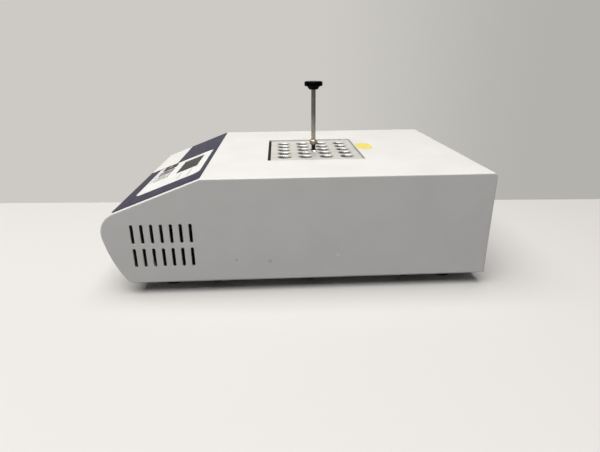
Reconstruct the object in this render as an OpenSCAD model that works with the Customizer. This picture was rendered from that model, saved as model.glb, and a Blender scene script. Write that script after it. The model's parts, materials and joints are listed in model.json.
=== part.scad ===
// Dry block heater: a low steel casing with a sloped control panel, a heated well in its top
// and a drilled metal block for tubes, which is lifted out by a screw-in tool.
// Millimetres. +X is the right of a user facing the panel, -Y the front, +Z up.
// The origin is on the table, under the middle of the whole object.

/* [Casing] */
// Width across the side walls
body_w = 205; // [195:1:240]
// Depth from the foremost line of the nose to the rear wall
body_d = 290; // [282:1:330]
// Height of the casing above its lower edge
body_h = 80; // [78:1:90]
// Thickness of the steel sheet
sheet_t = 1.5; // [1:0.1:2]
// Angle of the control panel above the horizontal
slope_angle = 20.7; // [19:0.1:24]
// Radius of the nose
nose_r = 17; // [14:0.5:19]
// Turn of the nose below its foremost line, in degrees
nose_under = 10; // [0:1:14]
// Radius of the front below the nose
chin_r = 94; // [75:1:120]
// Depth of the foremost line below the top
nose_h = 40; // [37:0.5:43]
// Radius at the foot of the front
chin_corner_r = 5; // [3:0.5:8]
// Bend radius at the top edges, across the casing
bend_r = 3; // [2.5:0.1:5]
// Radius along the edges of the side walls
edge_r = 1; // [0.8:0.1:2.2]
// Width of the lip that turns in under the walls
lip_w = 12; // [10:0.5:16]

/* [Base and feet] */
// Thickness of the base plate
base_t = 1.5; // [1:0.1:3]
// Inset of the base plate from the foot of the walls
base_inset = 3; // [1:0.5:5]
// Height of a foot
foot_h = 8.5; // [7:0.5:15]
// Radius of a foot at the base plate
foot_r = 10; // [8:0.5:12]
// Radius of a foot on the table
foot_tip_r = 8.5; // [7:0.5:10]
// Distance of a foot from the side wall
foot_inset = 24; // [24:1:40]
// Distance of the front and rear feet from the ends of the base
foot_end = 26; // [20:1:40]
// Radius of the screw pocket in a foot
foot_pocket_r = 4.5; // [4:0.1:5]
// Depth of the screw pocket in a foot
foot_pocket = 4.5; // [3.5:0.5:5]

/* [Vents] */
// Slots in a row
vent_count = 7; // [3:1:8]
// Rows of slots
vent_rows = 2; // [1:1:2]
// Width of a slot
vent_w = 2.5; // [1.5:0.1:3]
// Height of a slot
vent_h = 15.3; // [8:0.1:16]
// Slot to slot
vent_pitch = 7.1; // [5:0.05:8]
// Row to row
vent_row_pitch = 18.8; // [18:0.1:22]
// First slot behind the nose
vent_back = 22.5; // [20:0.1:30]
// Lower row above the lower edge
vent_low = 12.8; // [8:0.1:16]

/* [Control panel] */
// Thickness of the printed overlay
overlay_t = 0.4; // [0.2:0.05:0.6]
// Glue under the overlay
overlay_glue = 0.05; // [0.02:0.01:0.1]
// Overlay to side wall
overlay_side = 3; // [2:0.5:10]
// Overlay to the upper end of the slope
overlay_end = 0.3; // [0.2:0.1:4]
// Overlay past the lower end of the slope
overlay_past = 2; // [0:0.1:3]
// Corner radius of the overlay
overlay_r = 2; // [1:0.5:4]
// Middle of the display, to the right of the centre line
display_x = 20.25; // [5:0.25:25]
// Middle of the display, down the slope
display_s = 21.8; // [21:0.1:24]
// Width of the display window
display_w = 43.5; // [36:0.5:50]
// Height of the display window
display_h = 18.5; // [14:0.5:19]
// Rim of the window behind the casing
window_rim = 2.5; // [1.5:0.1:3]
// Thickness of that rim
window_rim_t = 1.5; // [1:0.1:2]
// Rim to display module
display_gap = 0.3; // [0.1:0.1:0.5]
// Middle key, to the right of the centre line
key_x = 15.5; // [5:0.25:20]
// Middle of the keys, down the slope
key_s = 46.5; // [46:0.5:49]
// Key to key
key_pitch = 18.5; // [18.5:0.25:22]
// Width of a key
key_w = 14; // [10:0.5:15.5]
// Height of a key
key_h = 13; // [9:0.5:13]
// Corner radius of a key
key_r = 1.5; // [0.5:0.1:2.5]
// Key standing proud of the overlay
key_proud = 0.5; // [0.3:0.1:1]
// Flange that keeps a key in
key_flange = 1.2; // [0.8:0.1:1.3]
// Thickness of that flange
key_flange_t = 1.1; // [0.8:0.1:1.5]
// Key travel
key_travel = 0.5; // [0.3:0.1:0.6]
// Room over a key's flange and under its stem
key_play = 0.1; // [0.05:0.01:0.15]
// Room around a key
key_clear = 0.3; // [0.2:0.05:0.4]
// Radius of the stem behind a key
key_stem_r = 2; // [1.2:0.1:2.5]

/* [Control board] */
// Width of the board
board_w = 124; // [110:1:140]
// Height of the board, down the slope
board_h = 52; // [50:1:54]
// Middle of the board, to the right of the centre line
board_x = 16; // [5:1:25]
// Middle of the board, down the slope
board_s = 34; // [33:0.5:36]
// Board thickness
board_t = 1.6; // [1:0.1:2]
// Panel face to board
board_gap = 10; // [8.5:0.5:14]
// Standoff radius
standoff_r = 3; // [2.5:0.1:4]
// Standoff to board edge
standoff_inset = 4; // [4:0.5:6]
// Side of a key switch
switch_side = 6; // [5:0.5:7]
// Height of a key switch with its plunger
switch_h = 3.6; // [2.5:0.1:4]
// Height of a switch's plunger
plunger_h = 0.9; // [0.6:0.1:1.2]
// Radius of a switch's plunger
plunger_r = 1.5; // [1:0.1:2]
// Length of the connectors on the boards
header_w = 24; // [16:1:30]
// Depth of those connectors
header_d = 6; // [5:0.5:8]
// Height of those connectors
header_h = 8; // [6:0.5:10]
// Connectors of the control board from the top of the slope
header_s = 48; // [47:0.5:49]
// Sensor connector to the right of the centre line
sensor_header_x = 40; // [39:0.5:41]

/* [Well opening and block] */
// Opening across the casing
opening_w = 94; // [93.5:0.5:97]
// Opening along the casing
opening_d = 81.5; // [80.5:0.5:83]
// Corner radius of the opening
opening_r = 1; // [0.5:0.1:2]
// Middle of the opening behind the nose
opening_back = 162.6; // [155:0.1:175]
// Block across the casing
block_w = 92; // [86:0.5:92.5]
// Block along the casing
block_d = 78; // [72:0.5:78.5]
// Block height
block_h = 50; // [46:0.5:52]
// Block top below the casing top
block_drop = 0.8; // [0.5:0.1:3]
// Block behind the middle of the opening
block_shift = 0.65; // [0:0.05:0.9]
// Radius of a tube well
well_r = 5.5; // [4:0.1:5.8]
// Depth of a tube well with its cone
well_depth = 38; // [30:1:44]
// Length of the cone at the foot of a well
well_cone = 12; // [6:1:14]
// Radius of the flat at the foot of a well
well_tip_r = 2; // [1:0.1:3]
// Wells across the casing
well_rows = 5; // [3:1:5]
// Wells along the casing, in even number
well_cols = 4; // [2:2:4]
// Well to well across the casing
well_pitch_x = 15; // [13:0.5:16]
// Well to well along the casing
well_pitch_y = 18; // [17.5:0.1:19]
// Radius of the thermometer hole
probe_r = 2; // [1.5:0.1:2.5]
// Depth of the thermometer hole
probe_depth = 30; // [20:1:40]
// Thermometer hole to the right of the lifter's hole
probe_x = 7.5; // [7:0.5:8]
// Countersink round the thermometer hole
probe_sink = 0.8; // [0.3:0.1:1]

/* [Lifter] */
// Radius of the rod
lifter_r = 2; // [1.5:0.1:2.1]
// Thread of the rod inside the block
lifter_grip = 8; // [6:0.5:9]
// Depth of the tapped hole
lifter_hole = 14; // [14:0.5:20]
// Clearance of the rod in the hole and in the nut
lifter_clear = 0.1; // [0.05:0.01:0.15]
// Countersink round the hole
lifter_sink = 0.8; // [0.5:0.1:1.3]
// Top of the knob above the block
lifter_h = 60.1; // [45:0.1:80]
// Radius of the knob
knob_r = 8; // [6:0.5:12]
// Height of the knob
knob_h = 6.8; // [6:0.1:10]
// Thickness of the knob's rim
knob_rim = 4; // [2:0.5:5]
// Radius under the rim
knob_step_r = 5.8; // [4.5:0.1:7]
// Radius at the neck of the knob
knob_neck_r = 3.8; // [2.5:0.1:4]
// Rounding of the rim
knob_round = 1; // [0.4:0.1:1.4]
// Depth of the rod in the knob
knob_socket = 5; // [4:0.5:5.5]
// Nut across its flats
nut_af = 7; // [5.5:0.5:7]
// Height of the nut
nut_h = 4.4; // [3:0.1:6]
// Nut above the block
nut_lift = 4.8; // [4.6:0.1:8]

/* [Heated tray] */
// Room round the block
tray_clear = 0.6; // [0.4:0.1:0.6]
// Wall of the tray
tray_wall = 3; // [2.5:0.1:5]
// Floor of the tray
tray_floor = 6; // [5.5:0.5:9]
// Seal between the tray and the casing top
gasket_h = 6; // [3:0.5:10]
// Heater mat across the casing
mat_w = 76; // [60:1:77]
// Heater mat along the casing
mat_d = 60; // [48:1:61]
// Heater mat thickness
mat_t = 1.5; // [1.2:0.1:2]
// Width of the tabs on the mat
mat_tab_w = 4; // [3:0.5:5]
// Length of the tabs on the mat
mat_tab = 6; // [4:0.5:7]
// Left tab, to the right of the centre line
tab_left = -32; // [-33:0.5:-31]
// Tab to tab
tab_step = 10; // [9:0.5:11]
// Clamp plate beyond the mat
clamp_over = 1; // [0:0.5:1]
// Clamp plate thickness
clamp_t = 2; // [1.9:0.1:3]
// Clamp screws from the middle, across the casing
clamp_x = 30; // [20:1:32]
// Clamp screws from the middle, along the casing
clamp_y = 22; // [15:1:25]
// Insulation round the tray
jacket_t = 10; // [6:0.5:12]
// Insulation below the rim of the tray
jacket_drop = 4; // [1:0.5:10]
// Insulation under the clamp plate
slab_t = 8; // [5:0.5:8]
// Pillars from the middle, across the casing
pillar_x = 44; // [44:0.5:45]
// Pillars from the middle, along the casing
pillar_y = 36; // [36:0.5:37]
// Pillar across its flats
pillar_af = 7; // [5.5:0.5:7]
// Radius of the temperature sensor
sensor_r = 2; // [1.5:0.1:2.2]
// Length of the temperature sensor
sensor_l = 28; // [15:1:40]
// Sensor to the right of the centre line
sensor_x = 20; // [5:1:32]
// Radius of the thermal cut-out
cutout_r = 7.5; // [6:0.5:9]
// Height of the thermal cut-out
cutout_h = 7; // [5:0.5:8]
// Drop of the cut-out's tabs before they turn outwards
cutout_leg = 2.5; // [2:0.5:4]

/* [Power board] */
// Edge of the board from the side wall
power_side = 30.5; // [22.5:0.5:30.5]
// Depth of the board
power_d = 60; // [58:1:62]
// Front edge of the board behind the nose
power_back = 36; // [34:1:37]
// Height of the board above the base plate
power_gap = 6; // [4:0.5:8]
// Pole to pole of the terminal block
pole_pitch = 10; // [8:0.5:10]
// Depth of the terminal block
terminal_d = 12; // [8:0.5:14]
// Height of the terminal block
terminal_h = 10; // [9:0.5:14]
// Middle of the terminal block from the left edge of the board
terminal_side = 21; // [21:0.5:22]
// Rear face of the terminal block from the rear edge of the board
terminal_inset = 12; // [10:0.5:14]
// Width of the transformer core
core_w = 36; // [34:1:40]
// Depth of the transformer core
core_d = 14; // [10:1:16]
// Height of the transformer core
core_h = 30; // [28:1:36]
// Limb of the transformer core
core_limb = 6; // [5:0.5:7]
// Coil outside the core, front and rear
coil_over = 7; // [5:0.5:8]
// Middle of the transformer, to the right of the centre line
transformer_x = 12; // [10:1:14]
// Middle of the transformer behind the front edge of the board
transformer_back = 42; // [40:1:43]
// Width of the heat sink
sink_w = 26; // [20:1:28]
// Depth of the heat sink
sink_d = 30; // [22:1:32]
// Height of the heat sink
sink_h = 24; // [20:1:30]
// Fins of the heat sink
sink_fins = 5; // [3:1:7]
// Thickness of a fin
fin_t = 2; // [1:0.1:2.2]
// Thickness of the heat sink's back
sink_back = 3; // [2:0.5:5]
// Face of the heat sink from the right edge of the board
sink_side = 28; // [27:0.5:28]
// Connector for the ribbon cable behind the front edge of the board
header_back = 13; // [12:0.5:14]

/* [Mains inlet] */
// Middle of the inlet, to the right of the centre line
inlet_x = -60; // [-62:0.5:-56]
// Middle of the rear fittings above the lower edge
fitting_h = 34; // [30:0.5:44]
// Width of the flange
flange_w = 50; // [48:0.5:52]
// Height of the flange
flange_h = 36; // [35:0.5:40]
// Thickness of the flange
flange_t = 2.5; // [2:0.1:3]
// Corner radius of the flange
flange_r = 4; // [2:0.5:5]
// Width of the housing behind the flange
inlet_w = 28; // [27.5:0.1:30]
// Height of the housing behind the flange
inlet_h = 32; // [31.5:0.5:33]
// Depth of the housing behind the wall
inlet_d = 24; // [22:0.5:28]
// Room round the fittings in the wall
fitting_clear = 0.3; // [0.1:0.1:0.5]
// Width of the socket mouth
mouth_w = 24; // [23.5:0.1:24.4]
// Height of the socket mouth
mouth_h = 16.5; // [16:0.1:16.8]
// Depth of the socket from the flange face
mouth_d = 17; // [16:0.5:19]
// Chamfer at the upper corners of the mouth
mouth_cut = 4; // [3:0.5:5]
// Middle of the mouth above the middle of the inlet
mouth_up = 5.75; // [5.5:0.05:5.9]
// Live and neutral pins from the middle
pin_x = 7; // [6.8:0.1:7.2]
// Earth pin above the other pins
pin_rise = 4; // [3.5:0.1:4.5]
// Pin tips below the flange face
pin_recess = 3.5; // [2:0.5:5]
// Pin thickness
pin_t = 2; // [1.8:0.1:2.2]
// Pin height
pin_w = 4; // [3.8:0.1:4.2]
// Tabs behind the housing
tab_l = 8; // [6:0.5:10]
// Flange screws from the middle
flange_screw_x = 20; // [19:0.5:20.5]
// Width of the fuse drawer's pocket
pocket_w = 24; // [23.5:0.1:24.5]
// Height of the fuse drawer's pocket
pocket_h = 7.5; // [7.3:0.1:7.8]
// Depth of the pocket from the flange face
pocket_d = 20; // [18:0.5:21]
// Middle of the pocket below the middle of the inlet
pocket_down = 9.75; // [9.5:0.05:10]
// Room round the drawer
drawer_clear = 0.3; // [0.2:0.05:0.3]
// Finger ridge on the drawer
drawer_ridge = 1.5; // [1:0.1:1.8]
// Radius of the fuse
fuse_r = 2.6; // [2:0.1:2.6]
// Length of the fuse
fuse_l = 20; // [15:0.5:20]
// End caps of the fuse
fuse_cap = 5; // [3:0.5:6]
// Thickness of an end cap
fuse_cap_t = 0.2; // [0.1:0.05:0.4]

/* [Power switch] */
// Middle of the switch, to the right of the centre line
switch_x = -18; // [-22:0.5:-10]
// Width of the bezel
bezel_w = 16; // [15:0.5:20]
// Height of the bezel
bezel_h = 23; // [22.5:0.5:26]
// Thickness of the bezel
bezel_t = 2; // [1.5:0.1:2.5]
// Width of the housing
switch_w = 13; // [12.8:0.1:14]
// Height of the housing
switch_body_h = 20; // [19.8:0.1:21]
// Depth of the housing behind the wall
switch_d = 18; // [14:0.5:22]
// Width of the rocker
rocker_w = 10; // [8:0.5:10]
// Half the height of the rocker
rocker_half = 7.8; // [6.5:0.1:7.8]
// Rocker face above its pivot
rocker_face = 3.5; // [3:0.1:4]
// Depth of the rocker behind its pivot
rocker_heel = 3; // [2:0.1:3.5]
// Half the height of the rocker at its heel
rocker_heel_half = 5; // [4:0.1:5.5]
// Tilt of the rocker to either side
rocker_tilt = 9; // [6:0.5:9]
// Radius of the rocker's pivot
pivot_r = 1.2; // [0.8:0.1:1.5]
// Running clearance of the pivot
pivot_clear = 0.05; // [0.03:0.01:0.08]
// Room round the rocker
rocker_clear = 0.3; // [0.2:0.05:0.4]

/* [Fasteners and leads] */
// Radius of the larger screws
screw_r = 2; // [1.6:0.1:2.1]
// Head radius of the larger screws
screw_head_r = 3.7; // [3.2:0.1:3.9]
// Head height of the larger screws
screw_head_h = 2.2; // [1.5:0.1:2.5]
// Radius of the smaller screws
small_screw_r = 1.5; // [1.2:0.1:1.6]
// Head radius of the smaller screws
small_head_r = 2.7; // [2.3:0.1:2.9]
// Head height of the smaller screws
small_head_h = 1.7; // [1.2:0.1:1.8]
// Clearance of a screw in a plate
screw_clear = 0.2; // [0.1:0.05:0.3]
// Radius of a mains lead
mains_lead_r = 1.3; // [1:0.1:1.5]
// Radius of a heater lead
heater_lead_r = 0.9; // [0.6:0.1:1]
// Radius of the sensor lead
sensor_lead_r = 1.2; // [0.8:0.1:1.5]
// Width of the ribbon cable
ribbon_w = 20; // [12:1:22]
// Thickness of the ribbon cable
ribbon_t = 1; // [0.8:0.1:1.2]
// Foot screw through the base plate
foot_bite = 3; // [2:0.5:4]
// Casing screw through the lip
lip_bite = 2; // [1:0.5:3]
// Pillar screw in its pillar
pillar_bite = 6; // [4:0.5:8]
// Screw of the control board in its standoff
board_bite = 4; // [3:0.5:4]
// Screw of the power board in its standoff
power_bite = 3; // [2:0.5:3.5]
// Flange screw through the wall
flange_bite = 3; // [2:0.5:5]
// Clamp screw in the tray
clamp_bite = 3; // [2:0.5:3]
// Earth stud to the left of the inlet
stud_side = 24; // [22:0.5:26]
// Earth stud from the rear wall
stud_back = 46; // [44:0.5:48]
// Radius of the earth stud
stud_r = 2.5; // [2:0.1:3]
// Height of the earth stud
stud_h = 8; // [6:0.5:10]

/* [Hidden] */
$fn = 48;
nose_steps = 18;
chin_steps = 12;
bend_steps = 4;
edge_steps = 4;
lead_sides = 8;
lead_steps = 3;
// How far a cut runs past the face that it opens
past = 1;
// What keeps the two round ends of a slot from meeting in a line
hair = 0.01;

// Rocker tip at its farthest out of the rear wall, which ends the object's depth
rocker_tip = rocker_face + rocker_half * tan(rocker_tilt);
rocker_pivot_y = bezel_t - rocker_face;
rear_proud = rocker_pivot_y + rocker_tip * cos(rocker_tilt) + rocker_half * sin(rocker_tilt);

front_y = -(body_d + rear_proud) / 2;
rear_y = front_y + body_d;
casing_z0 = foot_h + base_t;
top_z = casing_z0 + body_h;
inner_top_z = top_z - sheet_t;

// Side outline of the casing, in depth and height
nose_c = [front_y + nose_r, top_z - nose_h];
nose_turn = 180 + nose_under;
chin_c = nose_c + (nose_r - chin_r) * [cos(nose_turn), sin(nose_turn)];
slope_turn = 90 + slope_angle;
slope_foot = nose_c + nose_r * [cos(slope_turn), sin(slope_turn)];
slope_l = (top_z - slope_foot[1]) / sin(slope_angle);
slope_top_y = slope_foot[0] + slope_l * cos(slope_angle);
overlay_l = slope_l + overlay_past - overlay_end;
bend_c = [slope_top_y + bend_r * tan(slope_angle / 2), top_z - bend_r];
rear_c = [rear_y - bend_r, top_z - bend_r];
chin_turn = 180 + asin((chin_c[1] - casing_z0 - chin_corner_r) / (chin_r - chin_corner_r));
corner_c = chin_c + (chin_r - chin_corner_r) * [cos(chin_turn), sin(chin_turn)];
foot_line_y = corner_c[0];

// Block, tray and what lies under it
opening_y = front_y + opening_back;
block_y = opening_y + block_shift;
block_z1 = top_z - block_drop;
block_z0 = block_z1 - block_h;
tray_in_w = block_w + 2 * tray_clear;
tray_in_d = block_d + 2 * tray_clear;
tray_w = tray_in_w + 2 * tray_wall;
tray_d = tray_in_d + 2 * tray_wall;
tray_z0 = block_z0 - tray_floor;
tray_z1 = inner_top_z - gasket_h;
tray_front_y = block_y - tray_d / 2;
mat_z0 = tray_z0 - mat_t;
clamp_z0 = mat_z0 - clamp_t;
slab_z0 = clamp_z0 - slab_t;
jacket_w = tray_w + 2 * jacket_t;
jacket_d = tray_d + 2 * jacket_t;
jacket_front_y = block_y - jacket_d / 2;
jacket_rear_y = block_y + jacket_d / 2;
jacket_z1 = tray_z1 - jacket_drop;
sensor_z = block_z0 - tray_floor / 2;
sensor_fit = 0.05;
sensor_way = 1;
knob_z0 = block_z1 + lifter_h - knob_h;
nut_z0 = block_z1 + nut_lift;

// Fastener places, in plan
foot_x = body_w / 2 - foot_inset;
foot_front_y = foot_line_y + foot_end;
foot_rear_y = rear_y - foot_end;
foot_places = [for (x = [-foot_x, foot_x], y = [foot_front_y, foot_rear_y]) [x, y]];
lip_x = body_w / 2 - lip_w / 2 - base_inset / 2;
lip_front_y = foot_line_y + lip_w / 2 + base_inset / 2;
lip_rear_y = rear_y - lip_w / 2 - base_inset / 2;
lip_mid_y = (foot_front_y + foot_rear_y) / 2;
lip_step_y = (foot_rear_y - foot_front_y) / 3;
lip_places = concat(
    [for (x = [-lip_x, lip_x], k = [-1:1]) [x, lip_mid_y + k * lip_step_y]],
    [[0, lip_front_y], [0, lip_rear_y]]
);
pillar_places = [for (x = [-pillar_x, pillar_x], y = [-pillar_y, pillar_y]) [x, block_y + y]];
clamp_places = [for (x = [-clamp_x, clamp_x], y = [-clamp_y, clamp_y]) [x, block_y + y]];
power_w = body_w - 2 * power_side;
power_y0 = front_y + power_back;
power_z0 = casing_z0 + power_gap;
power_z1 = power_z0 + board_t;
power_places = [
    for (x = [-1, 1], y = [standoff_inset, power_d - standoff_inset])
    [x * (power_w / 2 - standoff_inset), power_y0 + y]
];
panel_places = [
    for (x = [-1, 1], s = [-1, 1])
    [board_x + x * (board_w / 2 - standoff_inset), board_s + s * (board_h / 2 - standoff_inset)]
];
well_places = [
    for (i = [0:well_rows - 1], k = [0:well_cols - 1])
    [(i - (well_rows - 1) / 2) * well_pitch_x, block_y + (k - (well_cols - 1) / 2) * well_pitch_y]
];
key_places = [for (k = [-1:1]) key_x + k * key_pitch];

// Screw lengths below their heads
foot_screw_l = foot_h - foot_pocket + base_t + foot_bite;
lip_screw_l = base_t + sheet_t + lip_bite;
pillar_screw_l = base_t + pillar_bite;
board_screw_l = board_t + board_bite;
power_screw_l = board_t + power_bite;
flange_screw_l = flange_t + sheet_t + flange_bite;
clamp_screw_l = clamp_t + mat_t + clamp_bite;
head_socket = 0.5;

// Rear fittings
fitting_z = casing_z0 + fitting_h;
pin_z = fitting_z + mouth_up - pin_rise / 2;
tab_end_y = rear_y - inlet_d - tab_l;
switch_tab_y = rear_y - switch_d - tab_l;
switch_tab_z = 5;
switch_tab_w = 6.3;
switch_tab_t = 0.8;
cutout_tab_x = cutout_r / 2 - switch_tab_t / 2 + tab_l / 2;
cutout_tab_z = clamp_z0 - cutout_h - cutout_leg;
rocker_room_d = 9;
drawer_d = pocket_d - drawer_clear;
fuse_back = 10.5;

// Earth stud on the base plate
stud_x = inlet_x - stud_side;
stud_y = rear_y - stud_back;

// Terminal block and the leads, with routes chosen by hand between their ends
poles = 4;
terminal_x = terminal_side - power_w / 2;
sink_x = power_w / 2 - sink_side;
terminal_y1 = power_y0 + power_d - terminal_inset;
terminal_z = power_z1 + terminal_h / 2;
pole_x = [for (k = [0:poles - 1]) terminal_x + (k - (poles - 1) / 2) * pole_pitch];
header_y = power_y0 + header_back;
tab_x = [tab_left, tab_left + tab_step];
tab_front_y = block_y - mat_d / 2 - mat_tab;
lead_z = mat_z0 + heater_lead_r / 2;
notch = 4;
lead_way = 5;
side_way = jacket_w / 2 + lead_way;

live_route = [
    [switch_x, switch_tab_y, fitting_z - switch_tab_z],
    [switch_x, switch_tab_y - 10, fitting_z - switch_tab_z],
    [-45, (jacket_rear_y + tab_end_y) / 2, casing_z0 + 20],
    [-side_way + 2, jacket_rear_y + 4, casing_z0 + 13],
    [-side_way, jacket_rear_y - 14, casing_z0 + 11],
    [-side_way, terminal_y1 + 32, terminal_z],
    [pole_x[1], terminal_y1 + 7, terminal_z],
    [pole_x[1], terminal_y1, terminal_z]
];
neutral_route = [
    [inlet_x - pin_x, tab_end_y, pin_z],
    [inlet_x - pin_x, tab_end_y - 10, pin_z],
    [-side_way - 5, rear_y - 62, casing_z0 + 22],
    [-side_way - 5, rear_y - 86, casing_z0 + 13],
    [-side_way - 5, terminal_y1 + 32, terminal_z],
    [pole_x[0], terminal_y1 + 7, terminal_z],
    [pole_x[0], terminal_y1, terminal_z]
];
link_route = [
    [inlet_x + pin_x, tab_end_y, pin_z],
    [inlet_x + pin_x, tab_end_y - 8, pin_z],
    [(inlet_x + pin_x + switch_x) / 2, tab_end_y - 11, pin_z],
    [switch_x, switch_tab_y - 12, fitting_z + switch_tab_z],
    [switch_x, switch_tab_y, fitting_z + switch_tab_z]
];
earth_route = [
    [inlet_x, tab_end_y, pin_z + pin_rise],
    [inlet_x, tab_end_y - 10, pin_z + pin_rise],
    [inlet_x - 14, rear_y - 50, pin_z + pin_rise],
    [stud_x, stud_y - 1, casing_z0 + 28],
    [stud_x, stud_y, casing_z0 + stud_h + 7],
    [stud_x, stud_y, casing_z0 + stud_h]
];
heater_routes = [
    for (k = [0:1]) [
        [pole_x[2 + k], terminal_y1, terminal_z],
        [pole_x[2 + k], terminal_y1 + 5, terminal_z],
        [(pole_x[2 + k] + tab_x[k]) / 2, jacket_front_y - 7, (terminal_z + lead_z) / 2 + 1],
        [tab_x[k], jacket_front_y - 1, lead_z],
        [tab_x[k], tab_front_y - 5, lead_z],
        [tab_x[k], tab_front_y, lead_z]
    ]
];
header_end = panel_point(0, header_s, -board_gap - board_t - header_h);
header_way = [0, sin(slope_angle), -cos(slope_angle)];
sensor_route = [
    [sensor_x, tray_front_y, sensor_z],
    [sensor_x, tray_front_y - jacket_t / 2, sensor_z],
    [sensor_x, jacket_front_y - 3, sensor_z],
    [sensor_x + 10, jacket_front_y - 14, sensor_z + 12],
    [sensor_header_x - 5, power_y0 + 30, sensor_z + 19],
    header_end + [sensor_header_x, 0, 0] + 8 * header_way,
    header_end + [sensor_header_x, 0, 0]
];
ribbon_route = [
    [0, header_y, power_z1 + header_h],
    [0, header_y, power_z1 + header_h + 6],
    [0, header_y - 3, power_z1 + header_h + 15],
    header_end + 6 * header_way,
    header_end
];

// Points and paths

function arc(c, r, a0, a1, steps, last) = [
    for (k = [0:last]) c + r * [cos(a0 + (a1 - a0) * k / steps), sin(a0 + (a1 - a0) * k / steps)]
];

// Side outline moved in by a given amount, from the nose over the top and back under the chin
function outline(in) = concat(
    arc(nose_c, nose_r - in, nose_turn, slope_turn, nose_steps, nose_steps),
    arc(bend_c, bend_r - in, slope_turn, 90, bend_steps, bend_steps),
    arc(rear_c, bend_r - in, 90, 0, bend_steps, bend_steps),
    [[rear_y - in, casing_z0 + in]],
    arc(corner_c, chin_corner_r - in, 270, chin_turn, bend_steps, bend_steps - 1),
    arc(chin_c, chin_r - in, chin_turn, nose_turn, chin_steps, chin_steps - 1)
);

// A point on the panel: to the right, down the slope and out along its normal
function panel_point(x, s, n) = [
    x,
    slope_top_y - s * cos(slope_angle) - n * sin(slope_angle),
    top_z - s * sin(slope_angle) + n * cos(slope_angle)
];

function unit(v) = v / norm(v);

// Smooth path through the points of a route
function smooth(p, steps) = concat(
    [
        for (i = [0:len(p) - 2], k = [0:steps - 1])
        let (t = k / steps, a = p[max(i - 1, 0)], b = p[i], c = p[i + 1], d = p[min(i + 2, len(p) - 1)])
        b + ((c - a) * t + (2 * a - 5 * b + 4 * c - d) * t * t + (3 * b - a - 3 * c + d) * t * t * t) / 2
    ],
    [p[len(p) - 1]]
);

// Direction of a path, square to what it meets at both ends
function heading(path, route, i) =
    i == 0 ? unit(route[1] - route[0]) :
    i == len(path) - 1 ? unit(route[len(route) - 1] - route[len(route) - 2]) :
    unit(path[i + 1] - path[i - 1]);

function ring(p, d, section, side) =
    let (u = unit(side - (side * d) * d), v = cross(d, u))
    [for (s = section) p + s[0] * u + s[1] * v];

function round_section(r) = arc([0, 0], r, 0, 360, lead_sides, lead_sides - 1);

function flat_section(w, t) = [[-w / 2, -t / 2], [w / 2, -t / 2], [w / 2, t / 2], [-w / 2, t / 2]];

// Shared shapes

module sweep(route, section, side) {
    path = smooth(route, lead_steps);
    n = len(section);
    last = (len(path) - 1) * n;
    points = [for (i = [0:len(path) - 1]) each ring(path[i], heading(path, route, i), section, side)];
    walls = [
        for (i = [0:len(path) - 2], k = [0:n - 1])
        let (a = i * n + k, b = i * n + (k + 1) % n)
        each [[a, b + n, b], [a, a + n, b + n]]
    ];
    ends = [for (k = [1:n - 2]) each [[0, k, k + 1], [last, last + k + 1, last + k]]];
    polyhedron(points, concat(walls, ends));
}

module round_rect(w, d, r) {
    square([w - 2 * r, d], center = true);
    square([w, d - 2 * r], center = true);
    for (sx = [-1, 1], sy = [-1, 1])
        translate([sx * (w / 2 - r), sy * (d / 2 - r)])
            circle(r);
}

// A box by its middle in plan and its lower face
module block(x, y, z, w, d, h) {
    translate([x - w / 2, y - d / 2, z])
        cube([w, d, h]);
}

module tube(r_out, r_in, h) {
    difference() {
        cylinder(r = r_out, h = h);
        translate([0, 0, -past])
            cylinder(r = r_in, h = h + 2 * past);
    }
}

// A hexagon by its width across flats, with two flats square to Y
module hexagon(af) {
    circle(r = af / 2 / cos(30), $fn = 6);
}

// Pan head screw with its head's seat at z = 0 and its shank below
module screw(r, length, head_r, head_h) {
    translate([0, 0, -length])
        cylinder(r = r, h = length);
    difference() {
        cylinder(r = head_r, h = head_h);
        translate([0, 0, head_h * head_socket])
            linear_extrude(head_h)
                hexagon(head_r);
    }
}

// The outline extruded across the casing
module across(w) {
    rotate([90, 0, 90])
        linear_extrude(w, center = true)
            children();
}

// Local x to the right, y up the slope, z out of the panel
module on_panel() {
    translate([0, slope_top_y, top_z])
        rotate([slope_angle, 0, 0])
            children();
}

// Seen from behind: local x to the right, y up, z out of the rear wall
module on_rear(x, z) {
    translate([x, rear_y, z])
        rotate([90, 0, 180])
            children();
}

module at(places, z) {
    for (p = places)
        translate([p[0], p[1], z])
            children();
}

// Casing, base and feet

module vent_slots() {
    for (row = [0:vent_rows - 1], k = [0:vent_count - 1])
        translate([0, front_y + vent_back + k * vent_pitch, casing_z0 + vent_low + row * vent_row_pitch])
            across(body_w + 2 * past) {
                translate([0, vent_h / 2])
                    round_rect(vent_w, vent_h, vent_w / 2 - hair);
            }
}

module panel_holes(t) {
    translate([display_x, -display_s, 0])
        linear_extrude(t)
            round_rect(display_w + 2 * fitting_clear, display_h + 2 * fitting_clear, key_r);
    for (x = key_places)
        translate([x, -key_s, 0])
            linear_extrude(t)
                round_rect(key_w + 2 * key_clear, key_h + 2 * key_clear, key_r);
}

module rear_holes() {
    t = sheet_t + 2 * past;
    on_rear(inlet_x, fitting_z)
        translate([0, 0, -sheet_t - past]) {
            linear_extrude(t)
                round_rect(inlet_w + 2 * fitting_clear, inlet_h + 2 * fitting_clear, flange_r / 2);
            for (s = [-1, 1])
                translate([s * flange_screw_x, 0, 0])
                    cylinder(r = small_screw_r + screw_clear, h = t);
        }
    on_rear(switch_x, fitting_z)
        translate([0, 0, -sheet_t - past])
            linear_extrude(t)
                round_rect(switch_w + 2 * fitting_clear, switch_body_h + 2 * fitting_clear, fitting_clear);
}

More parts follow.
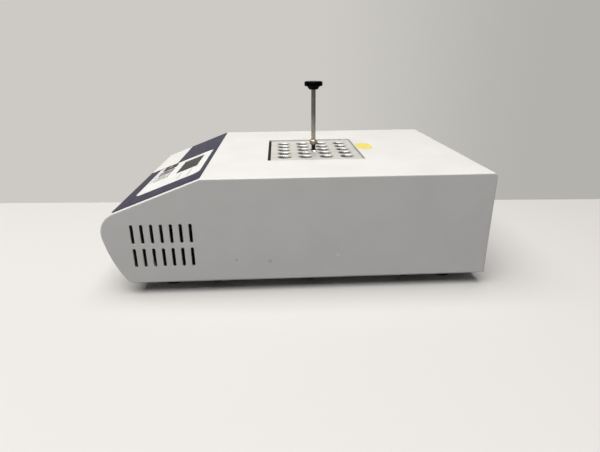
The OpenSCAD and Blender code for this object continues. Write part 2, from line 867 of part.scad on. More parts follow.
module casing() {
    color("#e9e8e4")
    difference() {
        hull()
            for (k = [0:edge_steps], t = 90 * k / edge_steps)
                across(body_w - 2 * edge_r * (1 - sin(t)))
                    polygon(outline(edge_r * (1 - cos(t))));
        across(body_w - 2 * sheet_t)
            polygon(outline(sheet_t));
        translate([0, (foot_line_y + rear_y) / 2, casing_z0 - past])
            linear_extrude(sheet_t + 2 * past)
                round_rect(body_w - 2 * lip_w, rear_y - foot_line_y - 2 * lip_w, lip_w / 3);
        translate([0, opening_y, inner_top_z - past])
            linear_extrude(sheet_t + 2 * past)
                round_rect(opening_w, opening_d, opening_r);
        on_panel()
            translate([0, 0, -sheet_t - past])
                panel_holes(sheet_t + 2 * past);
        vent_slots();
        rear_holes();
        at(lip_places, casing_z0 - past)
            cylinder(r = screw_r + screw_clear, h = sheet_t + 2 * past);
    }
}

module base_plate() {
    y0 = foot_line_y + base_inset;
    y1 = rear_y - base_inset;
    color("#8f9194") {
        difference() {
            translate([0, (y0 + y1) / 2, foot_h])
                linear_extrude(base_t)
                    round_rect(body_w - 2 * base_inset, y1 - y0, base_inset);
            at(concat(foot_places, lip_places, pillar_places), foot_h - past)
                cylinder(r = screw_r + screw_clear, h = base_t + 2 * past);
        }
        translate([stud_x, stud_y, casing_z0])
            cylinder(r = stud_r, h = stud_h);
    }
}

module foot(x, y) {
    color("#1d1d1e")
    translate([x, y, 0])
        difference() {
            cylinder(r1 = foot_tip_r, r2 = foot_r, h = foot_h);
            translate([0, 0, -past])
                cylinder(r = foot_pocket_r, h = foot_pocket + past);
            translate([0, 0, -past])
                cylinder(r = screw_r + screw_clear, h = foot_h + 2 * past);
        }
}

module foot_front_left() {
    foot(-foot_x, foot_front_y);
}

module foot_front_right() {
    foot(foot_x, foot_front_y);
}

module foot_rear_left() {
    foot(-foot_x, foot_rear_y);
}

module foot_rear_right() {
    foot(foot_x, foot_rear_y);
}

module foot_screws() {
    color("#b9bbbd")
    at(foot_places, foot_pocket)
        mirror([0, 0, 1])
            screw(screw_r, foot_screw_l, screw_head_r, screw_head_h);
}

module casing_screws() {
    color("#2b2b2c")
    at(lip_places, foot_h)
        mirror([0, 0, 1])
            screw(screw_r, lip_screw_l, screw_head_r, screw_head_h);
}

// Control panel

module panel_overlay() {
    color("#4a4860")
    on_panel()
        difference() {
            translate([0, -overlay_end - overlay_l / 2, overlay_glue])
                linear_extrude(overlay_t)
                    round_rect(body_w - 2 * overlay_side, overlay_l, overlay_r);
            translate([0, 0, -past])
                panel_holes(overlay_glue + overlay_t + 2 * past);
        }
}

module display_window() {
    color("#55524f")
    on_panel()
        translate([display_x, -display_s, 0]) {
            translate([0, 0, -sheet_t])
                linear_extrude(sheet_t + overlay_glue + overlay_t)
                    round_rect(display_w, display_h, key_r);
            translate([0, 0, -sheet_t - window_rim_t])
                linear_extrude(window_rim_t)
                    round_rect(display_w + 2 * window_rim, display_h + 2 * window_rim, key_r);
        }
}

module display_module() {
    color("#202022")
    on_panel()
        translate([display_x, -display_s, -board_gap])
            linear_extrude(board_gap - sheet_t - window_rim_t - display_gap)
                round_rect(display_w - window_rim, display_h - window_rim, key_r);
}

module control_board() {
    color("#2f6b45")
    on_panel()
        difference() {
            translate([board_x, -board_s, -board_gap - board_t])
                linear_extrude(board_t)
                    round_rect(board_w, board_h, key_r);
            for (p = panel_places)
                translate([p[0], -p[1], -board_gap - board_t - past])
                    cylinder(r = small_screw_r + screw_clear, h = board_t + 2 * past);
        }
}

module key_switches() {
    color("#303033")
    on_panel()
        for (x = key_places)
            translate([x, -key_s, -board_gap]) {
                linear_extrude(switch_h - plunger_h)
                    square(switch_side, center = true);
                cylinder(r = plunger_r, h = switch_h);
            }
}

module board_headers() {
    color("#e4ddc6") {
        block(0, header_y, power_z1, header_w, header_d, header_h);
        on_panel()
            for (x = [0, sensor_header_x])
                translate([x, -header_s, -board_gap - board_t - header_h])
                    linear_extrude(header_h)
                        square([x == 0 ? header_w : header_w / 2, header_d], center = true);
    }
}

module board_standoffs() {
    color("#c9ba7c")
    on_panel()
        for (p = panel_places)
            translate([p[0], -p[1], -board_gap])
                tube(standoff_r, small_screw_r, board_gap - sheet_t);
}

module board_screws() {
    color("#b9bbbd")
    on_panel()
        for (p = panel_places)
            translate([p[0], -p[1], -board_gap - board_t])
                mirror([0, 0, 1])
                    screw(small_screw_r, board_screw_l, small_head_r, small_head_h);
}

// Key cap through the panel, with its keeping flange and the stem over its switch
module key(x) {
    flange_z = -sheet_t - key_play;
    stem_z = -board_gap + switch_h + key_travel + key_play;
    color("#8b8796")
    on_panel()
        translate([x, -key_s, 0]) {
            translate([0, 0, flange_z])
                linear_extrude(overlay_glue + overlay_t + key_proud - flange_z)
                    round_rect(key_w, key_h, key_r);
            translate([0, 0, flange_z - key_flange_t])
                linear_extrude(key_flange_t)
                    round_rect(key_w + 2 * key_flange, key_h + 2 * key_flange, key_r);
            translate([0, 0, stem_z])
                cylinder(r = key_stem_r, h = flange_z - key_flange_t - stem_z);
        }
}

module key_down() {
    key(key_places[0]);
}

module key_up() {
    key(key_places[1]);
}

module key_set() {
    key(key_places[2]);
}

// Heated tray and its insulation

module heater_tray() {
    color("#a9acae")
    difference() {
        block(0, block_y, tray_z0, tray_w, tray_d, tray_z1 - tray_z0);
        block(0, block_y, block_z0, tray_in_w, tray_in_d, tray_z1 - block_z0 + past);
        translate([sensor_x, tray_front_y - past, sensor_z])
            rotate([-90, 0, 0])
                cylinder(r = sensor_r + sensor_fit, h = sensor_l + past);
        at(clamp_places, tray_z0 - past)
            cylinder(r = small_screw_r, h = clamp_screw_l - clamp_t - mat_t + past);
    }
}

module heater_mat() {
    color("#b5532f")
    difference() {
        union() {
            block(0, block_y, mat_z0, mat_w, mat_d, mat_t);
            for (x = tab_x)
                block(x, block_y - mat_d / 2 - mat_tab / 2, mat_z0, mat_tab_w, mat_tab, mat_t);
        }
        at(clamp_places, mat_z0 - past)
            cylinder(r = small_screw_r + screw_clear, h = mat_t + 2 * past);
    }
}

module clamp_plate() {
    color("#9a9da0")
    difference() {
        block(0, block_y, clamp_z0, mat_w + 2 * clamp_over, mat_d + 2 * clamp_over, clamp_t);
        at(clamp_places, clamp_z0 - past) {
            cylinder(r = small_screw_r + screw_clear, h = clamp_t + 2 * past);
            cylinder(r = small_head_r + screw_clear, h = small_head_h + past);
        }
    }
}

module clamp_screws() {
    color("#b9bbbd")
    at(clamp_places, clamp_z0 + small_head_h)
        mirror([0, 0, 1])
            screw(small_screw_r, clamp_screw_l - small_head_h, small_head_r, small_head_h);
}

module insulation_jacket() {
    color("#e6dfce")
    difference() {
        block(0, block_y, clamp_z0, jacket_w, jacket_d, jacket_z1 - clamp_z0);
        block(0, block_y, clamp_z0 - past, tray_w, tray_d, jacket_z1 - clamp_z0 + 2 * past);
        translate([sensor_x, jacket_front_y - past, sensor_z])
            rotate([-90, 0, 0])
                cylinder(r = sensor_lead_r + sensor_way, h = jacket_t + 2 * past);
        translate([tab_x[0] - notch, jacket_front_y - past, clamp_z0 - past])
            cube([tab_x[1] - tab_x[0] + 2 * notch, jacket_t + 2 * past, mat_t + clamp_t + 2 * past]);
    }
}

module insulation_base() {
    color("#e6dfce")
    difference() {
        block(0, block_y, slab_z0, jacket_w, jacket_d, slab_t);
        at(pillar_places, slab_z0 - past)
            linear_extrude(slab_t + 2 * past)
                hexagon(pillar_af);
        translate([0, block_y, slab_z0 - past])
            cylinder(r = cutout_r + screw_clear, h = slab_t + 2 * past);
    }
}

module well_gasket() {
    color("#19191a")
    difference() {
        block(0, block_y, tray_z1, tray_w, tray_d, gasket_h);
        block(0, block_y, tray_z1 - past, tray_in_w, tray_in_d, gasket_h + 2 * past);
    }
}

module tray_pillars() {
    color("#c9ba7c")
    at(pillar_places, casing_z0)
        difference() {
            linear_extrude(tray_z0 - casing_z0)
                hexagon(pillar_af);
            translate([0, 0, -past])
                cylinder(r = screw_r, h = pillar_screw_l - base_t + 2 * past);
        }
}

module tray_screws() {
    color("#b9bbbd")
    at(pillar_places, foot_h)
        mirror([0, 0, 1])
            screw(screw_r, pillar_screw_l, screw_head_r, screw_head_h);
}

module temperature_sensor() {
    color("#c4c6c8")
    translate([sensor_x, tray_front_y, sensor_z])
        rotate([-90, 0, 0])
            cylinder(r = sensor_r, h = sensor_l);
}

module thermal_cutout() {
    color("#2b2b2d") {
        translate([0, block_y, clamp_z0 - cutout_h])
            cylinder(r = cutout_r, h = cutout_h);
        for (s = [-1, 1]) {
            block(s * cutout_r / 2, block_y, cutout_tab_z, switch_tab_t, switch_tab_w, cutout_leg);
            block(s * cutout_tab_x, block_y, cutout_tab_z, tab_l, switch_tab_w, switch_tab_t);
        }
    }
}

// Block and its lifter

// Cut of a hole drilled down from the block's top, with its countersink
module sunk_hole(x, r, depth, sink) {
    translate([x, block_y, block_z1 - depth])
        cylinder(r = r, h = depth + past);
    translate([x, block_y, block_z1 - sink])
        cylinder(r1 = r, r2 = r + sink, h = sink);
}

module heating_block() {
    color("#c3c5c6")
    difference() {
        block(0, block_y, block_z0, block_w, block_d, block_h);
        at(well_places, block_z1 - well_depth + well_cone)
            cylinder(r = well_r, h = well_depth - well_cone + past);
        at(well_places, block_z1 - well_depth)
            cylinder(r1 = well_tip_r, r2 = well_r, h = well_cone);
        sunk_hole(0, lifter_r + lifter_clear, lifter_hole, lifter_sink);
        sunk_hole(probe_x, probe_r, probe_depth, probe_sink);
    }
}

module lifter_rod() {
    color("#8a877f")
    translate([0, block_y, block_z1 - lifter_grip])
        cylinder(r = lifter_r, h = lifter_grip + lifter_h - knob_h + knob_socket);
}

module lifter_knob() {
    rim_z = knob_h - knob_rim;
    color("#161516")
    translate([0, block_y, knob_z0])
        difference() {
            rotate_extrude()
                difference() {
                    union() {
                        polygon([[0, 0], [knob_neck_r, 0], [knob_step_r, rim_z], [0, rim_z]]);
                        translate([0, rim_z])
                            square([knob_r - knob_round, knob_rim]);
                        translate([0, rim_z + knob_round])
                            square([knob_r, knob_rim - 2 * knob_round]);
                        for (z = [rim_z + knob_round, knob_h - knob_round])
                            translate([knob_r - knob_round, z])
                                circle(knob_round);
                    }
                    translate([-knob_r, -past])
                        square([knob_r, knob_h + 2 * past]);
                }
            translate([0, 0, -past])
                cylinder(r = lifter_r, h = knob_socket + past);
        }
}

module lifter_nut() {
    color("#d8d5cb")
    translate([0, block_y, nut_z0])
        difference() {
            linear_extrude(nut_h)
                hexagon(nut_af);
            translate([0, 0, -past])
                cylinder(r = lifter_r + lifter_clear, h = nut_h + 2 * past);
        }
}

// Power board and what it carries

module power_board() {
    color("#2f6b45")
    difference() {
        translate([0, power_y0 + power_d / 2, power_z0])
            linear_extrude(board_t)
                round_rect(power_w, power_d, key_r);
        at(power_places, power_z0 - past)
            cylinder(r = small_screw_r + screw_clear, h = board_t + 2 * past);
    }
}

module power_board_standoffs() {
    color("#c9ba7c")
    at(power_places, casing_z0)
        tube(standoff_r, small_screw_r, power_gap);
}

module power_board_screws() {
    color("#b9bbbd")
    at(power_places, power_z1)
        screw(small_screw_r, power_screw_l, small_head_r, small_head_h);
}

module terminal_block() {
    color("#3c6e4c")
    difference() {
        block(terminal_x, terminal_y1 - terminal_d / 2, power_z1, poles * pole_pitch, terminal_d, terminal_h);
        for (x = pole_x)
            translate([x, terminal_y1 - terminal_d / 2, power_z1 + terminal_h - small_head_h])
                cylinder(r = small_head_r, h = small_head_h + past);
    }
}

module transformer_core() {
    window_w = (core_w - 4 * core_limb) / 2;
    window_h = core_h - 2 * core_limb;
    color("#5b5c60")
    translate([transformer_x, power_y0 + transformer_back, power_z1])
        difference() {
            block(0, 0, 0, core_w, core_d, core_h);
            for (s = [-1, 1])
                block(s * (core_limb + window_w / 2), 0, core_limb, window_w, core_d + 2 * past, window_h);
        }
}

module transformer_coil() {
    window_w = (core_w - 4 * core_limb) / 2;
    coil_w = core_w - 2 * core_limb;
    color("#b98d2f")
    translate([transformer_x, power_y0 + transformer_back, power_z1 + core_limb])
        linear_extrude(core_h - 2 * core_limb)
            difference() {
                union() {
                    round_rect(coil_w - 2 * window_w, core_d + 2 * coil_over, window_w / 2);
                    square([coil_w, core_d], center = true);
                    for (s = [-1, 1])
                        translate([0, s * (core_d + coil_over) / 2])
                            square([coil_w, coil_over], center = true);
                }
                square([2 * core_limb, core_d], center = true);
            }
}

module heat_sink() {
    fin_step = (sink_d - fin_t) / (sink_fins - 1);
    sink_y = power_y0 + power_d / 2 - sink_d / 2;
    color("#3a3b3d")
    translate([sink_x, sink_y, power_z1])
        linear_extrude(sink_h) {
            square([sink_back, sink_d]);
            for (k = [0:sink_fins - 1])
                translate([0, k * fin_step])
                    square([sink_w, fin_t]);
        }
}

module triac() {
    tab_w = 10;
    tab_t = 1.3;
    tab_h = 15.5;
    case_t = 3.2;
    case_h = 9;
    leg = 0.8;
    leg_step = 2.54;
    leg_h = 4;
    y = power_y0 + power_d / 2;
    color("#262628") {
        block(sink_x - tab_t / 2, y, power_z1 + leg_h, tab_t, tab_w, tab_h);
        block(sink_x - tab_t - case_t / 2, y, power_z1 + leg_h, case_t, tab_w, case_h);
        for (k = [-1:1])
            block(sink_x - tab_t - case_t / 2, y + k * leg_step, power_z1, leg, leg, leg_h);
    }
}

// Rear fittings

module mouth_shape() {
    polygon([
        [-mouth_w / 2, -mouth_h / 2],
        [mouth_w / 2, -mouth_h / 2],
        [mouth_w / 2, mouth_h / 2 - mouth_cut],
        [mouth_w / 2 - mouth_cut, mouth_h / 2],
        [-mouth_w / 2 + mouth_cut, mouth_h / 2],
        [-mouth_w / 2, mouth_h / 2 - mouth_cut]
    ]);
}

// The three pins, as seen from behind, with the earth pin above
module pin_shapes() {
    for (p = [[-pin_x, -pin_rise / 2], [pin_x, -pin_rise / 2], [0, pin_rise / 2]])
        translate([p[0], mouth_up + p[1]])
            square([pin_t, pin_w], center = true);
}

module inlet_housing() {
    color("#1b1b1c")
    on_rear(inlet_x, fitting_z)
        difference() {
            union() {
                linear_extrude(flange_t)
                    round_rect(flange_w, flange_h, flange_r);
                translate([0, 0, -inlet_d])
                    linear_extrude(inlet_d)
                        round_rect(inlet_w, inlet_h, flange_r / 2);
            }
            translate([0, mouth_up, flange_t - mouth_d])
                linear_extrude(mouth_d + past)
                    mouth_shape();
            translate([0, -pocket_down, flange_t - pocket_d])
                linear_extrude(pocket_d + past)
                    square([pocket_w, pocket_h], center = true);
            translate([0, 0, -inlet_d - past])
                linear_extrude(inlet_d)
                    pin_shapes();
            for (s = [-1, 1])
                translate([s * flange_screw_x, 0, -past])
                    cylinder(r = small_screw_r + screw_clear, h = flange_t + 2 * past);
        }
}

module inlet_pins() {
    color("#c9b26a")
    on_rear(inlet_x, fitting_z)
        translate([0, 0, -inlet_d - tab_l])
            linear_extrude(inlet_d + tab_l + flange_t - pin_recess)
                pin_shapes();
}

module inlet_screws() {
    color("#b9bbbd")
    on_rear(inlet_x, fitting_z)
        for (s = [-1, 1])
            translate([s * flange_screw_x, 0, flange_t])
                screw(small_screw_r, flange_screw_l, small_head_r, small_head_h);
}

module fuse_drawer() {
    w = pocket_w - 2 * drawer_clear;
    h = pocket_h - 2 * drawer_clear;
    bed_d = 2 * (fuse_r + drawer_clear);
    color("#232324")
    on_rear(inlet_x, fitting_z)
        translate([0, -pocket_down, flange_t]) {
            difference() {
                translate([-w / 2, -h / 2, -drawer_d])
                    cube([w, h, drawer_d]);
                translate([-fuse_l / 2 - drawer_clear, -fuse_r, -fuse_back - bed_d / 2])
                    cube([fuse_l + 2 * drawer_clear, h, bed_d]);
            }
            translate([-w / 4, -drawer_ridge / 2, 0])
                cube([w / 2, drawer_ridge, drawer_ridge]);
        }
}

module fuse() {
    color("#d4d6d4")
    on_rear(inlet_x, fitting_z)
        translate([-fuse_l / 2, -pocket_down, flange_t - fuse_back])
            rotate([0, 90, 0]) {
                cylinder(r = fuse_r - fuse_cap_t, h = fuse_l);
                cylinder(r = fuse_r, h = fuse_cap);
                translate([0, 0, fuse_l - fuse_cap])
                    cylinder(r = fuse_r, h = fuse_cap);
            }
}

module switch_housing() {
    room_w = rocker_w + 2 * rocker_clear;
    room_h = 2 * (rocker_half * cos(rocker_tilt) + rocker_tip * sin(rocker_tilt) + rocker_clear);
    color("#1b1b1c")
    on_rear(switch_x, fitting_z)
        difference() {
            union() {
                linear_extrude(bezel_t)
                    round_rect(bezel_w, bezel_h, bezel_t / 2);
                translate([0, 0, -switch_d])
                    linear_extrude(switch_d)
                        square([switch_w, switch_body_h], center = true);
            }
            translate([-room_w / 2, -room_h / 2, bezel_t - rocker_room_d])
                cube([room_w, room_h, rocker_room_d + past]);
            translate([0, 0, rocker_pivot_y])
                rotate([0, 90, 0])
                    cylinder(r = pivot_r + pivot_clear, h = switch_w + 2 * past, center = true);
        }
}

module switch_tabs() {
    color("#c9b26a")
    for (s = [-1, 1])
        on_rear(switch_x, fitting_z + s * switch_tab_z)
            translate([0, 0, -switch_d - tab_l])
                linear_extrude(tab_l)
                    square([switch_tab_w, switch_tab_t], center = true);
}

// Rocker with a hollow face, tilted to its off side
module rocker_shape() {
    polygon([
        [0, rocker_face],
        [rocker_half, rocker_tip],
        [rocker_half, rocker_face - rocker_heel / 2],
        [rocker_heel_half, -rocker_heel],
        [-rocker_heel_half, -rocker_heel],
        [-rocker_half, rocker_face - rocker_heel / 2],
        [-rocker_half, rocker_tip]
    ]);
}

module power_rocker() {
    pin_l = switch_w - 2 * rocker_clear;
    color("#2a2a2c")
    translate([switch_x, rear_y + rocker_pivot_y, fitting_z])
        rotate([-rocker_tilt, 0, 0]) {
            rotate([90, 0, 90])
                linear_extrude(rocker_w, center = true)
                    rotate(-90)
                        mirror([1, 0])
                            rocker_shape();
            rotate([0, 90, 0])
                cylinder(r = pivot_r, h = pin_l, center = true);
        }
}

// Leads

module mains_leads() {
    color("#7a4a2c")
    for (route = [live_route, neutral_route, link_route])
        sweep(route, round_section(mains_lead_r), [0.2, 0.1, 1]);
}

module earth_lead() {
    color("#6f8f2e")
    sweep(earth_route, round_section(mains_lead_r), [1, 0.3, 0]);
}

module heater_leads() {
    color("#d8d2c0")
    for (route = heater_routes)
        sweep(route, round_section(heater_lead_r), [1, 0, 0.2]);
}

module sensor_lead() {
    color("#d8d2c0")
    sweep(sensor_route, round_section(sensor_lead_r), [1, 0, 0]);
}

module ribbon_cable() {
    color("#9a9ca0")
    sweep(ribbon_route, flat_section(ribbon_w, ribbon_t), [1, 0, 0]);
}

casing();
base_plate();
foot_front_left();
foot_front_right();
foot_rear_left();
foot_rear_right();
foot_screws();
casing_screws();
panel_overlay();
display_window();
display_module();
control_board();
key_switches();
board_headers();
board_standoffs();
board_screws();
key_down();
key_up();
key_set();
heater_tray();
heater_mat();
clamp_plate();
clamp_screws();
insulation_jacket();
insulation_base();
well_gasket();
tray_pillars();
tray_screws();
temperature_sensor();
thermal_cutout();
heating_block();
lifter_rod();
lifter_knob();
lifter_nut();
power_board();
power_board_standoffs();
power_board_screws();
terminal_block();
transformer_core();
transformer_coil();
heat_sink();
triac();
inlet_housing();
inlet_pins();
inlet_screws();
fuse_drawer();
fuse();
switch_housing();
switch_tabs();
power_rocker();
mains_leads();
earth_lead();
heater_leads();
sensor_lead();
ribbon_cable();
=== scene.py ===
import json
import math

import bmesh
import bpy
from mathutils import Matrix, Vector


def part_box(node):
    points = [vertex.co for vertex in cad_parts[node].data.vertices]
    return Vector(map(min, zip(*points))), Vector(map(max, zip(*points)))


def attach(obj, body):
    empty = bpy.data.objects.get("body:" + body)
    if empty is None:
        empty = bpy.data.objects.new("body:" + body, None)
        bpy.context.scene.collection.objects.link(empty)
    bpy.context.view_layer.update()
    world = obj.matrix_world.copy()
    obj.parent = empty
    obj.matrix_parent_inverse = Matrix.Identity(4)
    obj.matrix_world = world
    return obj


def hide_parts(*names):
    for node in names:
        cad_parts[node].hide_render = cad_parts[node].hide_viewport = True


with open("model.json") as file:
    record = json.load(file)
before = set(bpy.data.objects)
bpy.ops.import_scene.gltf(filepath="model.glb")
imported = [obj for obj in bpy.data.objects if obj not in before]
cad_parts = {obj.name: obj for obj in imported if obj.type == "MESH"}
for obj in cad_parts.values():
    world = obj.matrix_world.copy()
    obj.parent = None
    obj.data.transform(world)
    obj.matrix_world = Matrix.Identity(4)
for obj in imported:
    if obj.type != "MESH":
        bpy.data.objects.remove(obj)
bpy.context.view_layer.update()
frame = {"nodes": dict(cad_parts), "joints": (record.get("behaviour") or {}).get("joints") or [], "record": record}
mm = 0.001
print("stage: frame loaded,", len(frame["nodes"]), "nodes")


def linear(hexColour):
    # sRGB to linear light, by the standard's own curve
    parts = [int(hexColour[i:i + 2], 16) / 255 for i in (1, 3, 5)]
    return [p / 12.92 if p <= 0.04045 else ((p + 0.055) / 1.055) ** 2.4 for p in parts] + [1.0]


def addNode(tree, kind, settings=None, links=None):
    # a whole number is a socket's place: a colour Mix takes its share at 0 and its colours at 6 and 7
    node = tree.nodes.new(kind)
    for key, value in (settings or {}).items():
        if isinstance(key, int) or key in node.inputs:
            node.inputs[key].default_value = value
        else:
            setattr(node, key, value)
    for key, source in (links or {}).items():
        tree.links.new(source, node.inputs[key])
    return node


# camera: fitted to the object's edges in the photograph, which is 600 pixels wide
cameraView = {
    "place": (0.41285, -0.01605, 0.17157),
    "right": (0.0495, 0.99874, -0.00859),
    "up": (-0.3559, 0.02568, 0.93417),
    "focalPixels": 449.94,
    "imageWidth": 600,
    "sensor": 36,
    "clipStart": 0.01,
}


def makeCamera(view):
    camera = bpy.data.cameras.new("photoCamera")
    camera.sensor_width = view["sensor"]
    camera.lens = view["focalPixels"] / view["imageWidth"] * view["sensor"]
    camera.clip_start = view["clipStart"]
    holder = bpy.data.objects.new("photoCamera", camera)
    bpy.context.scene.collection.objects.link(holder)
    right = Vector(view["right"]).normalized()
    back = right.cross(Vector(view["up"])).normalized()
    up = back.cross(right)
    turn = Matrix((right, up, back)).transposed().to_4x4()
    holder.matrix_world = Matrix.Translation(view["place"]) @ turn
    bpy.context.scene.camera = holder


makeCamera(cameraView)
print("stage: camera placed")

